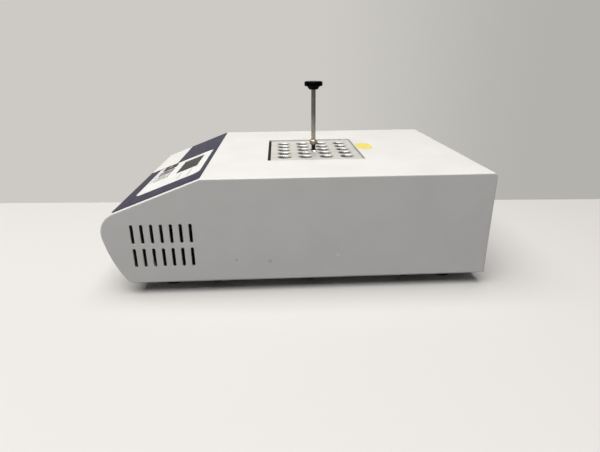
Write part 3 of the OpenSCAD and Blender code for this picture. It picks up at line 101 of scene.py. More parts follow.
# finishes: colours are sRGB, sizes in millimetres, each with what it gives the eye
# mottle, roughSize and grain are sizes of patterns, height is the grain's depth,
# and a stretch below 1 draws the patterns out along that axis
finishes = {
    # powder coat: warm white, even, with a low orange peel
    "powder_coat": ("powderCoatedSteel", {
        "colour": "#e7e4df", "second": "#e2dfda", "mottle": 42, "rough": (0.40, 0.50), "roughSize": 16,
        "grain": 1.8, "height": 0.012}),
    # zinc plate on sheet: cool grey with a faint spangle
    "base_steel": ("zincPlatedSheet", {
        "colour": "#a9abac", "second": "#8d9092", "mottle": 7, "rough": (0.34, 0.5), "roughSize": 5,
        "grain": 0.7, "height": 0.01, "metallic": 1}),
    # rubber: near black, dull, slightly pitted from the mould
    "foot_rubber": ("mouldedRubber", {
        "colour": "#1c1c1d", "second": "#262627", "mottle": 5, "rough": (0.72, 0.88), "roughSize": 3,
        "grain": 0.8, "height": 0.02}),
    # zinc plate on screws: bright with darker patches
    "zinc_screw": ("zincPlatedScrew", {
        "colour": "#c9c9c5", "second": "#a8a9a7", "mottle": 2.2, "rough": (0.24, 0.4), "roughSize": 1.5,
        "grain": 0.5, "height": 0.006, "metallic": 1}),
    # black oxide on screws: dark, with a dull oily gloss
    "black_screw": ("blackOxideScrew", {
        "colour": "#262628", "second": "#1c1c1e", "mottle": 2.2, "rough": (0.4, 0.55), "roughSize": 1.5,
        "grain": 0.5, "height": 0.006, "metallic": 0.7}),
    # printed polycarbonate: navy under a fine velvet surface
    "overlay_print": ("printedPolycarbonate", {
        "colour": "#343245", "second": "#383648", "mottle": 18, "rough": (0.40, 0.48), "roughSize": 7,
        "grain": 0.9, "height": 0.006, "specular": 0.05}),
    # smoked acrylic: dark olive, glossy, a little dust in the gloss
    "smoked_window": ("smokedAcrylic", {
        "colour": "#1c1a17", "second": "#21201b", "mottle": 12, "rough": (0.2, 0.3), "roughSize": 4,
        "grain": 6, "height": 0.004, "specular": 0.02}),
    # black moulded nylon: fine spark texture
    "black_plastic": ("mouldedNylon", {
        "colour": "#1d1d1f", "second": "#262628", "mottle": 6, "rough": (0.42, 0.56), "roughSize": 2,
        "grain": 0.6, "height": 0.012}),
    # key film: grey print, satin
    "key_plastic": ("printedKeyFilm", {
        "colour": "#938e92", "second": "#8b868a", "mottle": 5, "rough": (0.4, 0.5), "roughSize": 3,
        "grain": 0.7, "height": 0.006, "specular": 0.2}),
    # circuit board: green mask with copper showing through as darker fields
    "circuit_board": ("solderMask", {
        "colour": "#2c6a43", "second": "#1f5534", "mottle": 4, "rough": (0.28, 0.4), "roughSize": 2,
        "grain": 1.2, "height": 0.01}),
    # nylon connectors: ivory
    "connector": ("ivoryNylon", {
        "colour": "#e4ddc6", "second": "#d8d0b6", "mottle": 4, "rough": (0.45, 0.55), "roughSize": 2,
        "grain": 0.6, "height": 0.008}),
    # turned brass: warm metal with fine turning lines
    "brass": ("turnedBrass", {
        "colour": "#d2b469", "second": "#b99a52", "mottle": 3, "rough": (0.24, 0.36), "roughSize": 1,
        "grain": 0.4, "height": 0.005, "stretch": (0.3, 0.3, 4), "metallic": 1}),
    # machined aluminium: pale satin metal, cutter lines along its length
    "block_aluminium": ("machinedAluminium", {
        "colour": "#f2f0eb", "second": "#e8e6e0", "mottle": 3, "rough": (0.46, 0.56), "roughSize": 2.5,
        "grain": 0.7, "height": 0.004, "stretch": (1, 0.06, 1), "metallic": 1}),
    # drilled aluminium inside the wells: rings left by the drill,
    # which draw light from above into upright streaks
    "drilledWell": ("drilledAluminium", {
        "colour": "#f0f0ee", "second": "#e6e6e3", "mottle": 2, "rough": (0.52, 0.6), "roughSize": 1,
        "grain": 0.5, "height": 0.02, "stretch": (0.04, 0.04, 1), "metallic": 0.9, "rings": 0.85}),
    # rounded well mouths: aluminium rubbed bright by tubes
    "easedMouth": ("rubbedAluminium", {
        "colour": "#dddbd7", "second": "#d2d0cb", "mottle": 2, "rough": (0.42, 0.52), "roughSize": 1,
        "grain": 0.5, "height": 0.004, "metallic": 1}),
    # cast aluminium tray: greyer, with a skin
    "tray_aluminium": ("castAluminium", {
        "colour": "#b4b5b5", "second": "#9d9fa0", "mottle": 4, "rough": (0.42, 0.6), "roughSize": 2,
        "grain": 0.9, "height": 0.02, "metallic": 1}),
    # silicone heater: brick red, rubbery, fine cloth mark
    "heater_silicone": ("siliconeHeater", {
        "colour": "#a04d2e", "second": "#8f4227", "mottle": 6, "rough": (0.6, 0.72), "roughSize": 2,
        "grain": 1.1, "height": 0.03}),
    # ceramic fibre: cream, soft and matted
    "insulation": ("ceramicFibre", {
        "colour": "#e3dac4", "second": "#d0c5ab", "mottle": 3, "rough": (0.85, 0.97), "roughSize": 3,
        "grain": 1.6, "height": 0.25, "stretch": (1, 0.4, 1)}),
    # silicone seal: black, dull; a real seal round the block, whose black is also painted shade down the gaps
    "gasket_silicone": ("siliconeSeal", {
        "colour": "#131313", "second": "#1b1b1b", "mottle": 6, "rough": (0.6, 0.75), "roughSize": 3,
        "grain": 0.8, "height": 0.01, "specular": 0.15}),
    # ground steel rod: grey, drawn along its length
    "bright_steel": ("groundSteel", {
        "colour": "#827e76", "second": "#716d66", "mottle": 1.2, "rough": (0.26, 0.38), "roughSize": 1,
        "grain": 0.5, "height": 0.003, "stretch": (1, 1, 0.08), "metallic": 1}),
    # cut thread: the same steel in a darker tone
    "darkThread": ("darkThread", {
        "colour": "#58544d", "second": "#47433d", "mottle": 1.2, "rough": (0.34, 0.46), "roughSize": 1,
        "grain": 0.5, "height": 0.003, "metallic": 1}),
    # worn nickel on the nut: warm grey, polished by the spanner
    "wornNickel": ("wornNickel", {
        "colour": "#b5a896", "second": "#9b8d7b", "mottle": 2.2, "rough": (0.2, 0.32), "roughSize": 1.5,
        "grain": 0.5, "height": 0.005, "metallic": 1}),
    # phenolic knob: deep black with a soft gloss
    "knob_plastic": ("mouldedPhenolic", {
        "colour": "#040404", "second": "#080707", "mottle": 4, "rough": (0.34, 0.46), "roughSize": 2,
        "grain": 1.2, "height": 0.008, "specular": 0.02}),
    # terminal block: green nylon
    "terminal_plastic": ("greenNylon", {
        "colour": "#3f7656", "second": "#376a4c", "mottle": 4, "rough": (0.45, 0.55), "roughSize": 2,
        "grain": 0.6, "height": 0.008}),
    # transformer stack: varnished sheets on edge
    "lamination": ("varnishedLamination", {
        "colour": "#6f7073", "second": "#4c4d50", "mottle": 0.7, "rough": (0.35, 0.5), "roughSize": 1,
        "grain": 0.7, "height": 0.03, "stretch": (0.02, 1, 0.02), "metallic": 0.6}),
    # taped winding: amber tape over wire
    "winding": ("tapedWinding", {
        "colour": "#bf8a3c", "second": "#a87630", "mottle": 3, "rough": (0.3, 0.42), "roughSize": 2,
        "grain": 0.8, "height": 0.03, "stretch": (1, 1, 0.1)}),
    # anodised heat sink: black satin metal
    "sink_black": ("blackAnodised", {
        "colour": "#3c3c3f", "second": "#333336", "mottle": 3, "rough": (0.4, 0.5), "roughSize": 2,
        "grain": 0.6, "height": 0.01, "stretch": (1, 1, 0.1), "metallic": 0.8}),
    # fuse: pale glass and caps
    "fuse_glass": ("fuseGlass", {
        "colour": "#d4d6d4", "second": "#c6c9c7", "mottle": 3, "rough": (0.1, 0.2), "roughSize": 2,
        "grain": 1.0, "height": 0.004}),
    # mains leads: brown PVC, smooth with a soft gloss
    "mains_insulation": ("brownLead", {
        "colour": "#7a4a2c", "second": "#6f4226", "mottle": 5, "rough": (0.4, 0.5), "roughSize": 2,
        "grain": 0.7, "height": 0.008}),
    # earth lead: green PVC with yellower patches
    "earth_insulation": ("greenLead", {
        "colour": "#6f8f2e", "second": "#8e9a34", "mottle": 5, "rough": (0.4, 0.5), "roughSize": 2,
        "grain": 0.7, "height": 0.008}),
    # heater and sensor leads: pale silicone, a little duller
    "pale_insulation": ("paleLead", {
        "colour": "#d8d2c0", "second": "#cdc6b2", "mottle": 5, "rough": (0.5, 0.6), "roughSize": 2,
        "grain": 0.7, "height": 0.008}),
    # ribbon cable: grey, ribbed by its cores
    "ribbon": ("greyRibbon", {
        "colour": "#9fa2a6", "second": "#83868b", "mottle": 1.27, "rough": (0.4, 0.5), "roughSize": 2,
        "grain": 1.27, "height": 0.05, "stretch": (1, 0.02, 0.02)}),
    # printing inks on the overlay: white field, grey and dark print
    "whiteInk": ("whiteScreenInk", {
        "colour": "#ebeae4", "second": "#e6e4de", "mottle": 14, "rough": (0.38, 0.46), "roughSize": 6,
        "grain": 0.9, "height": 0.006, "specular": 0.2}),
    "greyInk": ("greyScreenInk", {
        "colour": "#b2b0ae", "second": "#aaa8a6", "mottle": 6, "rough": (0.38, 0.46), "roughSize": 4,
        "grain": 0.9, "height": 0.006, "specular": 0.2}),
    "darkInk": ("darkScreenInk", {
        "colour": "#3b3844", "second": "#34323c", "mottle": 4, "rough": (0.38, 0.46), "roughSize": 3,
        "grain": 0.9, "height": 0.006, "specular": 0.2}),
    # deep key film: the first key's print, darker
    "deepKey": ("deepKeyFilm", {
        "colour": "#3e3a38", "second": "#383432", "mottle": 5, "rough": (0.4, 0.5), "roughSize": 3,
        "grain": 0.7, "height": 0.006, "specular": 0.05}),
    # pale key film: the third key's print, lighter
    "paleKey": ("paleKeyFilm", {
        "colour": "#cfccc8", "second": "#c7c4c0", "mottle": 5, "rough": (0.4, 0.5), "roughSize": 3,
        "grain": 0.7, "height": 0.006, "specular": 0.2}),
    # paper label: yellow, matt, faintly fibrous
    "yellowPaper": ("yellowPaper", {
        "colour": "#ead973", "second": "#e6d164", "mottle": 4, "rough": (0.7, 0.8), "roughSize": 2,
        "grain": 1.0, "height": 0.01, "specular": 0.2}),
}

# how the patterns are drawn: detail of each noise, the part of it that is used, and how strong the grain is
patterns = {
    "detail": {"mottle": 3, "roughSize": 2, "grain": 1},
    "mottleRange": (0.36, 0.64),
    "roughRange": (0.3, 0.7),
    "grainStrength": 0.6,
}


def makeFinish(name, look):
    material = bpy.data.materials.new(name)
    material.use_nodes = True
    tree = material.node_tree
    shader = tree.nodes["Principled BSDF"]
    shader.inputs["Metallic"].default_value = look.get("metallic", 0)
    shader.inputs["Specular IOR Level"].default_value = look.get("specular", 0.5)
    place = addNode(tree, "ShaderNodeTexCoord").outputs["Object"]
    run = addNode(tree, "ShaderNodeMapping", {"Scale": look.get("stretch", (1, 1, 1))}, {"Vector": place})
    noise = {
        use: addNode(tree, "ShaderNodeTexNoise", {
            "Scale": 1 / (look[use] * mm), "Detail": detail}, {"Vector": run.outputs[0]}).outputs[0]
        for use, detail in patterns["detail"].items()
    }
    start, end = patterns["mottleRange"]
    share = addNode(tree, "ShaderNodeMapRange", {
        "From Min": start, "From Max": end}, {"Value": noise["mottle"]})
    tint = addNode(tree, "ShaderNodeMix", {
        "data_type": "RGBA", 6: linear(look["colour"]), 7: linear(look["second"])}, {0: share.outputs[0]})
    tree.links.new(tint.outputs[2], shader.inputs["Base Color"])
    start, end = patterns["roughRange"]
    low, high = look["rough"]
    rough = addNode(tree, "ShaderNodeMapRange", {
        "From Min": start, "From Max": end, "To Min": low, "To Max": high}, {"Value": noise["roughSize"]})
    tree.links.new(rough.outputs[0], shader.inputs["Roughness"])
    bump = addNode(tree, "ShaderNodeBump", {
        "Strength": patterns["grainStrength"], "Distance": look["height"] * mm}, {"Height": noise["grain"]})
    tree.links.new(bump.outputs[0], shader.inputs["Normal"])
    if "rings" in look:
        shader.inputs["Anisotropic"].default_value = look["rings"]
        upright = addNode(tree, "ShaderNodeCombineXYZ", {"Z": 1})
        tree.links.new(upright.outputs[0], shader.inputs["Tangent"])
    return material


finish = {slot: makeFinish(*made) for slot, made in finishes.items()}
nodeSlot = {subpart["node"]: subpart["material_slot"] for subpart in frame["record"]["subparts"]}
nodeBody = {node: body for body, nodes in frame["record"]["behaviour"]["bodies"].items() for node in nodes}
for node, slot in nodeSlot.items():
    frame["nodes"][node].material_slots[0].material = finish[slot]
print("stage: finishes made,", len(finish))


def layTint(slot, colour, share):
    # lays a colour over those that a finish has already
    tree = finish[slot].node_tree
    base = tree.nodes["Principled BSDF"].inputs["Base Color"]
    tint = addNode(tree, "ShaderNodeMix", {
        "data_type": "RGBA", 7: linear(colour)}, {0: share, 6: base.links[0].from_socket})
    tree.links.new(tint.outputs[2], base)


# marks of use on the right wall: two faint smudges and a chip where the coat is paler, in millimetres
casingMarks = {"slot": "powder_coat", "core": 0.3, "spots": [
    {"place": (102.5, -49.9, 26.8), "radius": 1.6, "colour": "#a2988a", "strength": 0.4},
    {"place": (102.5, -24.5, 25.0), "radius": 1.9, "colour": "#a2988a", "strength": 0.4},
    {"place": (102.5, 27.0, 29.0), "radius": 1.8, "colour": "#fbfaf6", "strength": 0.5},
]}


def markCasing():
    tree = finish[casingMarks["slot"]].node_tree
    place = addNode(tree, "ShaderNodeTexCoord").outputs["Object"]
    for mark in casingMarks["spots"]:
        centre = [v * mm for v in mark["place"]]
        away = addNode(tree, "ShaderNodeVectorMath", {"operation": "DISTANCE", 1: centre}, {0: place})
        share = addNode(tree, "ShaderNodeMapRange", {
            "From Min": casingMarks["core"] * mark["radius"] * mm, "From Max": mark["radius"] * mm,
            "To Min": mark["strength"], "To Max": 0}, {"Value": away.outputs["Value"]})
        layTint(casingMarks["slot"], mark["colour"], share.outputs[0])


markCasing()
print("stage: casing marked")

# tones that fade along an axis, in millimetres: a painted sheen on the rod, lighter just above its nut,
# painted shade on the well walls, darker below their mouths, and the seal in a paler grey on its rear limb
toneFades = {
    # painted sheen: the rod lighter low down, fading out upward
    "bright_steel": {"axis": "Z", "fullAt": 97, "noneAt": 122, "colour": "#bfb9ae"},
    # the seal's rear limb in a paler grey
    "gasket_silicone": {"axis": "Y", "fullAt": 40, "noneAt": 30, "colour": "#8f8b84"},
    # painted shade: the well walls dark below their mouths, as shade deeper in the wells
    "drilledWell": {"axis": "Z", "fullAt": 86.3, "noneAt": 88.0, "colour": "#36342f"},
}


# lays a tone that fades along an axis: a painted sheen on the rod, a painted shade in the wells
def layToneFade(slot, toneFade):
    tree = finish[slot].node_tree
    place = addNode(tree, "ShaderNodeTexCoord").outputs["Object"]
    along = addNode(tree, "ShaderNodeSeparateXYZ", {}, {0: place}).outputs[toneFade["axis"]]
    share = addNode(tree, "ShaderNodeMapRange", {
        "From Min": toneFade["fullAt"] * mm, "From Max": toneFade["noneAt"] * mm, "To Min": 1, "To Max": 0},
        {"Value": along})
    layTint(slot, toneFade["colour"], share.outputs[0])


for slot, toneFade in toneFades.items():
    layToneFade(slot, toneFade)
print("stage: wear laid on")


def addPiece(bm, name, body, looks, stands=None, sharp=35):
    for edge in bm.edges:
        edge.smooth = len(edge.link_faces) == 2 and edge.calc_face_angle(0) < math.radians(sharp)
    for face in bm.faces:
        face.smooth = True
    mesh = bpy.data.meshes.new(name)
    bm.to_mesh(mesh)
    bm.free()
    for look in looks:
        mesh.materials.append(finish[look])
    piece = bpy.data.objects.new(name, mesh)
    bpy.context.scene.collection.objects.link(piece)
    normals = piece.modifiers.new("evenNormals", "WEIGHTED_NORMAL")
    normals.keep_sharp = True
    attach(piece, body)
    if stands:
        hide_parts(stands)


# a CAD node's loose triangles are joined: corners within reach, in millimetres, faces within bend, in degrees
merging = {"reach": 0.002, "bend": 0.4}


def mergedNode(node):
    bm = bmesh.new()
    bm.from_mesh(frame["nodes"][node].data)
    bmesh.ops.remove_doubles(bm, verts=bm.verts, dist=merging["reach"] * mm)
    bend = math.radians(merging["bend"])
    bmesh.ops.dissolve_limit(bm, angle_limit=bend, verts=bm.verts, edges=bm.edges)
    return bm


def boxInMm(node):
    return [Vector(corner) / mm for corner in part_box(node)]


def softenEdges(bm, width, sharp=40, segments=2, wanted=None, clamp=True):
    edges = [
        edge for edge in bm.edges
        if len(edge.link_faces) == 2 and edge.is_convex and edge.calc_face_angle(0) > math.radians(sharp)
        and (wanted is None or wanted(edge))
    ]
    bmesh.ops.bevel(
        bm, geom=edges, offset=width * mm, offset_type="OFFSET", affect="EDGES",
        segments=segments, profile=0.5, material=-1, clamp_overlap=clamp)


# pieces whose CAD form is right: merged for smooth shading, with sharp edges eased, in millimetres
dressed = {
    "casing": {"name": "casingShell", "ease": 0},
    "base_plate": {"name": "baseSheet", "ease": 0},
    "foot_front_left": {"name": "footFrontLeft", "ease": 0.8},
    "foot_front_right": {"name": "footFrontRight", "ease": 0.8},
    "foot_rear_left": {"name": "footRearLeft", "ease": 0.8},
    "foot_rear_right": {"name": "footRearRight", "ease": 0.8},
    "casing_screws": {"name": "casingScrews", "ease": 0.25},
    "foot_screws": {"name": "footScrews", "ease": 0.25},
    "tray_screws": {"name": "trayScrews", "ease": 0.25},
    "heater_tray": {"name": "heaterTray", "ease": 0.2},
    "lifter_knob": {"name": "lifterKnob", "ease": 0},
    "display_window": {"name": "displayWindow", "ease": 0.15},
    "key_down": {"name": "keyDown", "ease": 0.22, "look": "deepKey"},
    "key_up": {"name": "keyUp", "ease": 0.22},
    "key_set": {"name": "keySet", "ease": 0.22, "look": "paleKey"},
    "inlet_housing": {"name": "inletHousing", "ease": 0.3},
    "inlet_pins": {"name": "inletPins", "ease": 0.25},
    "inlet_screws": {"name": "inletScrews", "ease": 0.25},
    "fuse_drawer": {"name": "fuseDrawer", "ease": 0.25},
    "switch_housing": {"name": "switchHousing", "ease": 0.3},
    "power_rocker": {"name": "powerRocker", "ease": 0.3},
}
for node, piece in dressed.items():
    bm = mergedNode(node)
    if piece["ease"]:
        softenEdges(bm, piece["ease"])
    addPiece(bm, piece["name"], nodeBody[node], [piece.get("look", nodeSlot[node])], node)
print("stage: CAD forms dressed,", len(dressed))

# tube block: satin faces, and drilled wells with rounded mouths
# by how far it looks up, a face is a drilled wall below wallTilt, a milled top from topTilt, or else a mouth
tubeBlock = {
    "ease": 0.35, "easeFrom": 80, "mouth": 1.2, "mouthSteps": 5,
    "smallHole": 3.2, "probeX": 7.5, "margin": 1, "level": 0.01,
    "wallTilt": 0.05, "topTilt": 0.995,
    "looks": ["block_aluminium", "drilledWell", "easedMouth"],
}


def makeBlock():
    bm = mergedNode("heating_block")
    low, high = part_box("heating_block")
    middleY = (low[1] + high[1]) / 2
    margin = tubeBlock["margin"] * mm
    small = [Vector((x * mm, middleY)) for x in (0, tubeBlock["probeX"])]

    def isInside(spot):
        return all(low[i] + margin < spot[i] < high[i] - margin for i in (0, 1))

    def isMouth(edge):
        spot = (edge.verts[0].co + edge.verts[1].co) / 2
        level = all(abs(vert.co.z - high[2]) < tubeBlock["level"] * mm for vert in edge.verts)
        clear = all((spot.xy - hole).length > tubeBlock["smallHole"] * mm for hole in small)
        return level and clear and isInside(spot)

    def isOuter(edge):
        return not any(isInside(vert.co) for vert in edge.verts)

    softenEdges(bm, tubeBlock["mouth"], segments=tubeBlock["mouthSteps"], wanted=isMouth, clamp=False)
    softenEdges(bm, tubeBlock["ease"], sharp=tubeBlock["easeFrom"], wanted=isOuter)
    for face in bm.faces:
        if isInside(face.calc_center_median()) and face.normal.z < tubeBlock["topTilt"]:
            face.material_index = 1 if face.normal.z < tubeBlock["wallTilt"] else 2
    return bm


addPiece(makeBlock(), "tubeBlock", "block", tubeBlock["looks"], "heating_block")
print("stage: tube block drilled")

# lifter nut: a hexagon whose corners are turned off to a cone above and below
nut = {"top": 5.4, "cone": 45, "corners": 6, "turned": (-20, 0, 20), "reach": 0.001, "sharp": 20}


def makeNut():
    bm = mergedNode("lifter_nut")
    low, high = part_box("lifter_nut")
    middle = [(low[i] + high[i]) / 2 for i in (0, 1)]
    cone = math.radians(nut["cone"])
    for corner in range(nut["corners"]):
        for step in nut["turned"]:
            way = Vector((1, 0, 0))
            way.rotate(Matrix.Rotation(math.radians(360 / nut["corners"] * corner + step), 3, "Z"))
            for height, side in ((high[2], 1), (low[2], -1)):
                rim = Vector((*middle, height)) + way * nut["top"] / 2 * mm
                slant = way * math.sin(cone) + Vector((0, 0, side * math.cos(cone)))
                bmesh.ops.bisect_plane(
                    bm, geom=bm.verts[:] + bm.edges[:] + bm.faces[:], dist=nut["reach"] * mm,
                    plane_co=rim, plane_no=slant, clear_outer=True)
                bmesh.ops.holes_fill(bm, edges=[edge for edge in bm.edges if edge.is_boundary], sides=0)
    return bm


addPiece(makeNut(), "lifterNut", "lifter_nut", ["wornNickel"], "lifter_nut", nut["sharp"])
print("stage: lifter nut turned")

# lifter rod: ground shank over a cut thread that screws into the block
# crest, flank and valley are where each ends, as shares of the pitch
rod = {
    "radius": 2.0, "root": 1.62, "pitch": 0.7, "crest": 0.2, "flank": 0.5, "valley": 0.7,
    "turns": 18, "spareTurns": 2, "steps": 24, "reach": 0.001,
    "shankFrom": 94.2, "sides": 48, "ease": 0.3, "easeSteps": 2, "level": 0.01,
}


def makeRod():
    low, high = boxInMm("lifter_rod")
    centre = Vector(((low.x + high.x) / 2, (low.y + high.y) / 2, 0))
    pitch = rod["pitch"]
    turns = rod["turns"] + rod["spareTurns"]
    bm = bmesh.new()
    profile = [
        (rod["radius"], 0), (rod["radius"], rod["crest"]), (rod["root"], rod["flank"]),
        (rod["root"], rod["valley"]), (rod["radius"], 1)]
    verts = [bm.verts.new(centre + Vector((r, 0, low.z - pitch + pitch * share))) for r, share in profile]
    edges = [bm.edges.new(pair) for pair in zip(verts, verts[1:])]
    bmesh.ops.spin(
        bm, geom=verts + edges, cent=centre, axis=(0, 0, 1), dvec=(0, 0, pitch / rod["steps"]),
        angle=math.tau * turns, steps=rod["steps"] * turns, use_merge=False)
    bmesh.ops.remove_doubles(bm, verts=bm.verts, dist=rod["reach"])
    for height, side in ((low.z, -1), (rod["shankFrom"], 1)):
        bmesh.ops.bisect_plane(
            bm, geom=bm.verts[:] + bm.edges[:] + bm.faces[:], dist=rod["reach"],
            plane_co=(0, 0, height), plane_no=(0, 0, side), clear_outer=True)
    bmesh.ops.holes_fill(bm, edges=[edge for edge in bm.edges if edge.is_boundary], sides=0)
    shank = bmesh.ops.create_cone(
        bm, cap_ends=True, segments=rod["sides"], radius1=rod["radius"], radius2=rod["radius"],
        depth=high.z - rod["shankFrom"],
        matrix=Matrix.Translation(centre + Vector((0, 0, (high.z + rod["shankFrom"]) / 2))))
    rims = dict.fromkeys(
        edge for vert in shank["verts"] for edge in vert.link_edges
        if abs(edge.verts[0].co.z - edge.verts[1].co.z) < rod["level"])
    bmesh.ops.bevel(
        bm, geom=list(rims), offset=rod["ease"], offset_type="OFFSET", affect="EDGES",
        segments=rod["easeSteps"], profile=0.5, material=-1)
    bmesh.ops.recalc_face_normals(bm, faces=bm.faces)
    for face in bm.faces:
        face.material_index = int(face.calc_center_median().z < rod["shankFrom"])
    bmesh.ops.scale(bm, vec=(mm, mm, mm), verts=bm.verts)
    return bm


addPiece(makeRod(), "lifterRod", "lifter", ["bright_steel", "darkThread"], "lifter_rod")
print("stage: lifter rod threaded")

# control panel: measured right of the middle and down the slope, square to the way the keys travel
# the overlay ends overlayEnd below the slope's top, lies on its glue, and has its face that high
panel = {
    "overlayEnd": 0.3, "glue": 0.05, "face": 0.45, "ink": 0.04, "gap": 0.3,
    "patchLeft": 0.5, "patchBelow": 0.3, "cornerSteps": 8, "reach": 0.001,
}
keyAxis = next(joint["axis"] for joint in frame["joints"] if joint["name"] == "key_up_press")
slope = math.atan2(keyAxis[1], -keyAxis[2])
casingTop = boxInMm("casing")[1].z
slopeTop = (
    boxInMm("panel_overlay")[1].y + panel["overlayEnd"] * math.cos(slope) + panel["glue"] * math.sin(slope))
panelTurn = Matrix.Translation((0, slopeTop, casingTop)) @ Matrix.Rotation(slope, 4, "X")


def panelSpan(node):
    # how far a node reaches over the casing: left, right, upper and lower edge, and height
    spots = [panelTurn.inverted() @ (vert.co / mm) for vert in frame["nodes"][node].data.vertices]
    proud = [spot for spot in spots if spot.z > 0]
    across = [spot.x for spot in proud]
    down = [-spot.y for spot in proud]
    return min(across), max(across), min(down), max(down), max(spot.z for spot in proud)


def plate(x0, x1, s0, s1, corner, holes=()):
    # a flat sheet, x0 to x1 across and s0 to s1 down, with rounded corners and square openings
    bm = bmesh.new()
    bmesh.ops.create_grid(bm, x_segments=1, y_segments=1, size=0.5)
    bmesh.ops.transform(
        bm, verts=bm.verts, matrix=Matrix.Translation(((x0 + x1) / 2, -(s0 + s1) / 2, 0))
        @ Matrix.Diagonal((x1 - x0, s1 - s0, 1, 1)))
    outer = list(bm.verts)
    for a0, a1, b0, b1 in holes:
        cuts = [((a, 0, 0), (1, 0, 0)) for a in (a0, a1)] + [((0, -b, 0), (0, 1, 0)) for b in (b0, b1)]
        for point, normal in cuts:
            bmesh.ops.bisect_plane(
                bm, geom=bm.verts[:] + bm.edges[:] + bm.faces[:], dist=panel["reach"],
                plane_co=point, plane_no=normal)

    def isOpen(spot):
        return any(a0 < spot.x < a1 and b0 < -spot.y < b1 for a0, a1, b0, b1 in holes)

    inside = [face for face in bm.faces if isOpen(face.calc_center_median())]
    bmesh.ops.delete(bm, geom=inside, context="FACES")
    if corner:
        bmesh.ops.bevel(
            bm, geom=outer, offset=corner, offset_type="OFFSET", affect="VERTICES",
            segments=panel["cornerSteps"], profile=0.5, material=-1)
    return bm


def raisePlate(bm, thickness):
    grown = bmesh.ops.extrude_face_region(bm, geom=bm.faces[:])
    lifted = [part for part in grown["geom"] if isinstance(part, bmesh.types.BMVert)]
    bmesh.ops.translate(bm, verts=lifted, vec=(0, 0, thickness))
    bmesh.ops.recalc_face_normals(bm, faces=bm.faces)
    return bm


def layOnPanel(bm, height):
    lay = Matrix.Scale(mm, 4) @ panelTurn @ Matrix.Translation((0, 0, height))
    bmesh.ops.transform(bm, verts=bm.verts, matrix=lay)


def withGap(span):
    return span[0] - panel["gap"], span[1] + panel["gap"], span[2] - panel["gap"], span[3] + panel["gap"]


overlay = panelSpan("panel_overlay")
patchBox = (overlay[0] + panel["patchLeft"], -16, 43, overlay[3] - panel["patchBelow"])
cutOuts = [withGap(panelSpan(node)) for node in ("display_window", "key_down", "key_up", "key_set")]
prints = {  # coatsUnder is how many coats of ink a print lies on
    "panelField": {"box": (-13.6, 75.4, 4.8, 59.1), "corner": 6.5, "ink": "whiteInk", "holes": cutOuts},
    "panelPatch": {"box": patchBox, "corner": 1.5, "ink": "whiteInk"},
    "panelLineUpper": {"box": (49.5, 70.5, 15.3, 16.2), "corner": 0.3, "ink": "greyInk", "coatsUnder": 1},
    "panelLineLower": {"box": (49.5, 70.5, 24.5, 25.4), "corner": 0.3, "ink": "greyInk", "coatsUnder": 1},
    "keyRule": {"box": (-10.5, 41.5, 55.6, 56.5), "corner": 0.3, "ink": "greyInk", "coatsUnder": 1},
}
for name, item in prints.items():
    bm = raisePlate(plate(*item["box"], item["corner"], item.get("holes", ())), panel["ink"])
    layOnPanel(bm, panel["face"] + item.get("coatsUnder", 0) * panel["ink"])
    addPiece(bm, name, "chassis", [item["ink"]])
print("stage: panel printed")

# key signs: two arrows and a ring, printed on the key caps
keySign = {
    "thickness": 0.03, "arrow": 3.6, "tip": 0.35, "tipSteps": 3, "ring": (3.2, 2.3), "ringSides": 48,
    "ink": "darkInk", "onDeepKey": "greyInk",
}


def makeArrow(turn):
    bm = bmesh.new()
    bmesh.ops.create_circle(bm, cap_ends=True, segments=3, radius=keySign["arrow"])
    bmesh.ops.rotate(bm, verts=bm.verts, cent=(0, 0, 0), matrix=Matrix.Rotation(turn, 3, "Z"))
    bmesh.ops.bevel(
        bm, geom=bm.verts[:], offset=keySign["tip"], offset_type="OFFSET", affect="VERTICES",
        segments=keySign["tipSteps"], profile=0.5, material=-1)
    return bm


def makeRing(outer, inner):
    bm = bmesh.new()
    for radius in (outer, inner):
        bmesh.ops.create_circle(bm, segments=keySign["ringSides"], radius=radius)
    bmesh.ops.bridge_loops(bm, edges=bm.edges[:])
    return bm


signs = {"key_down": makeArrow(math.pi), "key_up": makeArrow(0), "key_set": makeRing(*keySign["ring"])}
for body, bm in signs.items():
    left, right, upper, lower, height = panelSpan(body)
    raisePlate(bm, keySign["thickness"])
    bmesh.ops.translate(bm, verts=bm.verts, vec=((left + right) / 2, -(upper + lower) / 2, 0))
    ink = keySign["onDeepKey" if dressed[body].get("look") == "deepKey" else "ink"]
    layOnPanel(bm, height)
    addPiece(bm, body + "_sign", body, [ink])
print("stage: keys signed")

# rocker signs: a bar on the upper half and a ring on the lower, each on its own face
rocker = {
    "pivot": (-18, 141.30136, 44), "face": 3.5, "tilt": 9, "out": 4.2, "ink": 0.04,
    "bar": (-0.45, 0.45, -2.1, 2.1), "barCorner": 0.2, "ring": (1.9, 1.15),
}


def rockerFace(upper):
    # the upper half leans in by its own tilt on top of the rocker's, the lower half stands square at rest
    lean = math.radians(-2 * rocker["tilt"] if upper else 0)
    middle = Matrix.Rotation(math.radians(-rocker["tilt"]), 4, "X") @ Vector((0, rocker["face"], 0))
    turn = Matrix.Translation(Vector(rocker["pivot"]) + middle) @ Matrix.Rotation(lean, 4, "X")
    facing = Matrix(((-1, 0, 0, 0), (0, 0, 1, 0), (0, 1, 0, 0), (0, 0, 0, 1)))  # upright, looking to the rear
    return turn @ facing @ Matrix.Translation((0, rocker["out"] if upper else -rocker["out"], 0))


rockerSigns = {
    "rockerBar": (True, plate(*rocker["bar"], rocker["barCorner"])),
    "rockerRing": (False, makeRing(*rocker["ring"])),
}
for name, (upper, bm) in rockerSigns.items():
    raisePlate(bm, rocker["ink"])
    bmesh.ops.transform(bm, verts=bm.verts, matrix=Matrix.Scale(mm, 4) @ rockerFace(upper))
    bmesh.ops.recalc_face_normals(bm, faces=bm.faces)
    addPiece(bm, name, "rocker", ["whiteInk"])
print("stage: rocker signed")

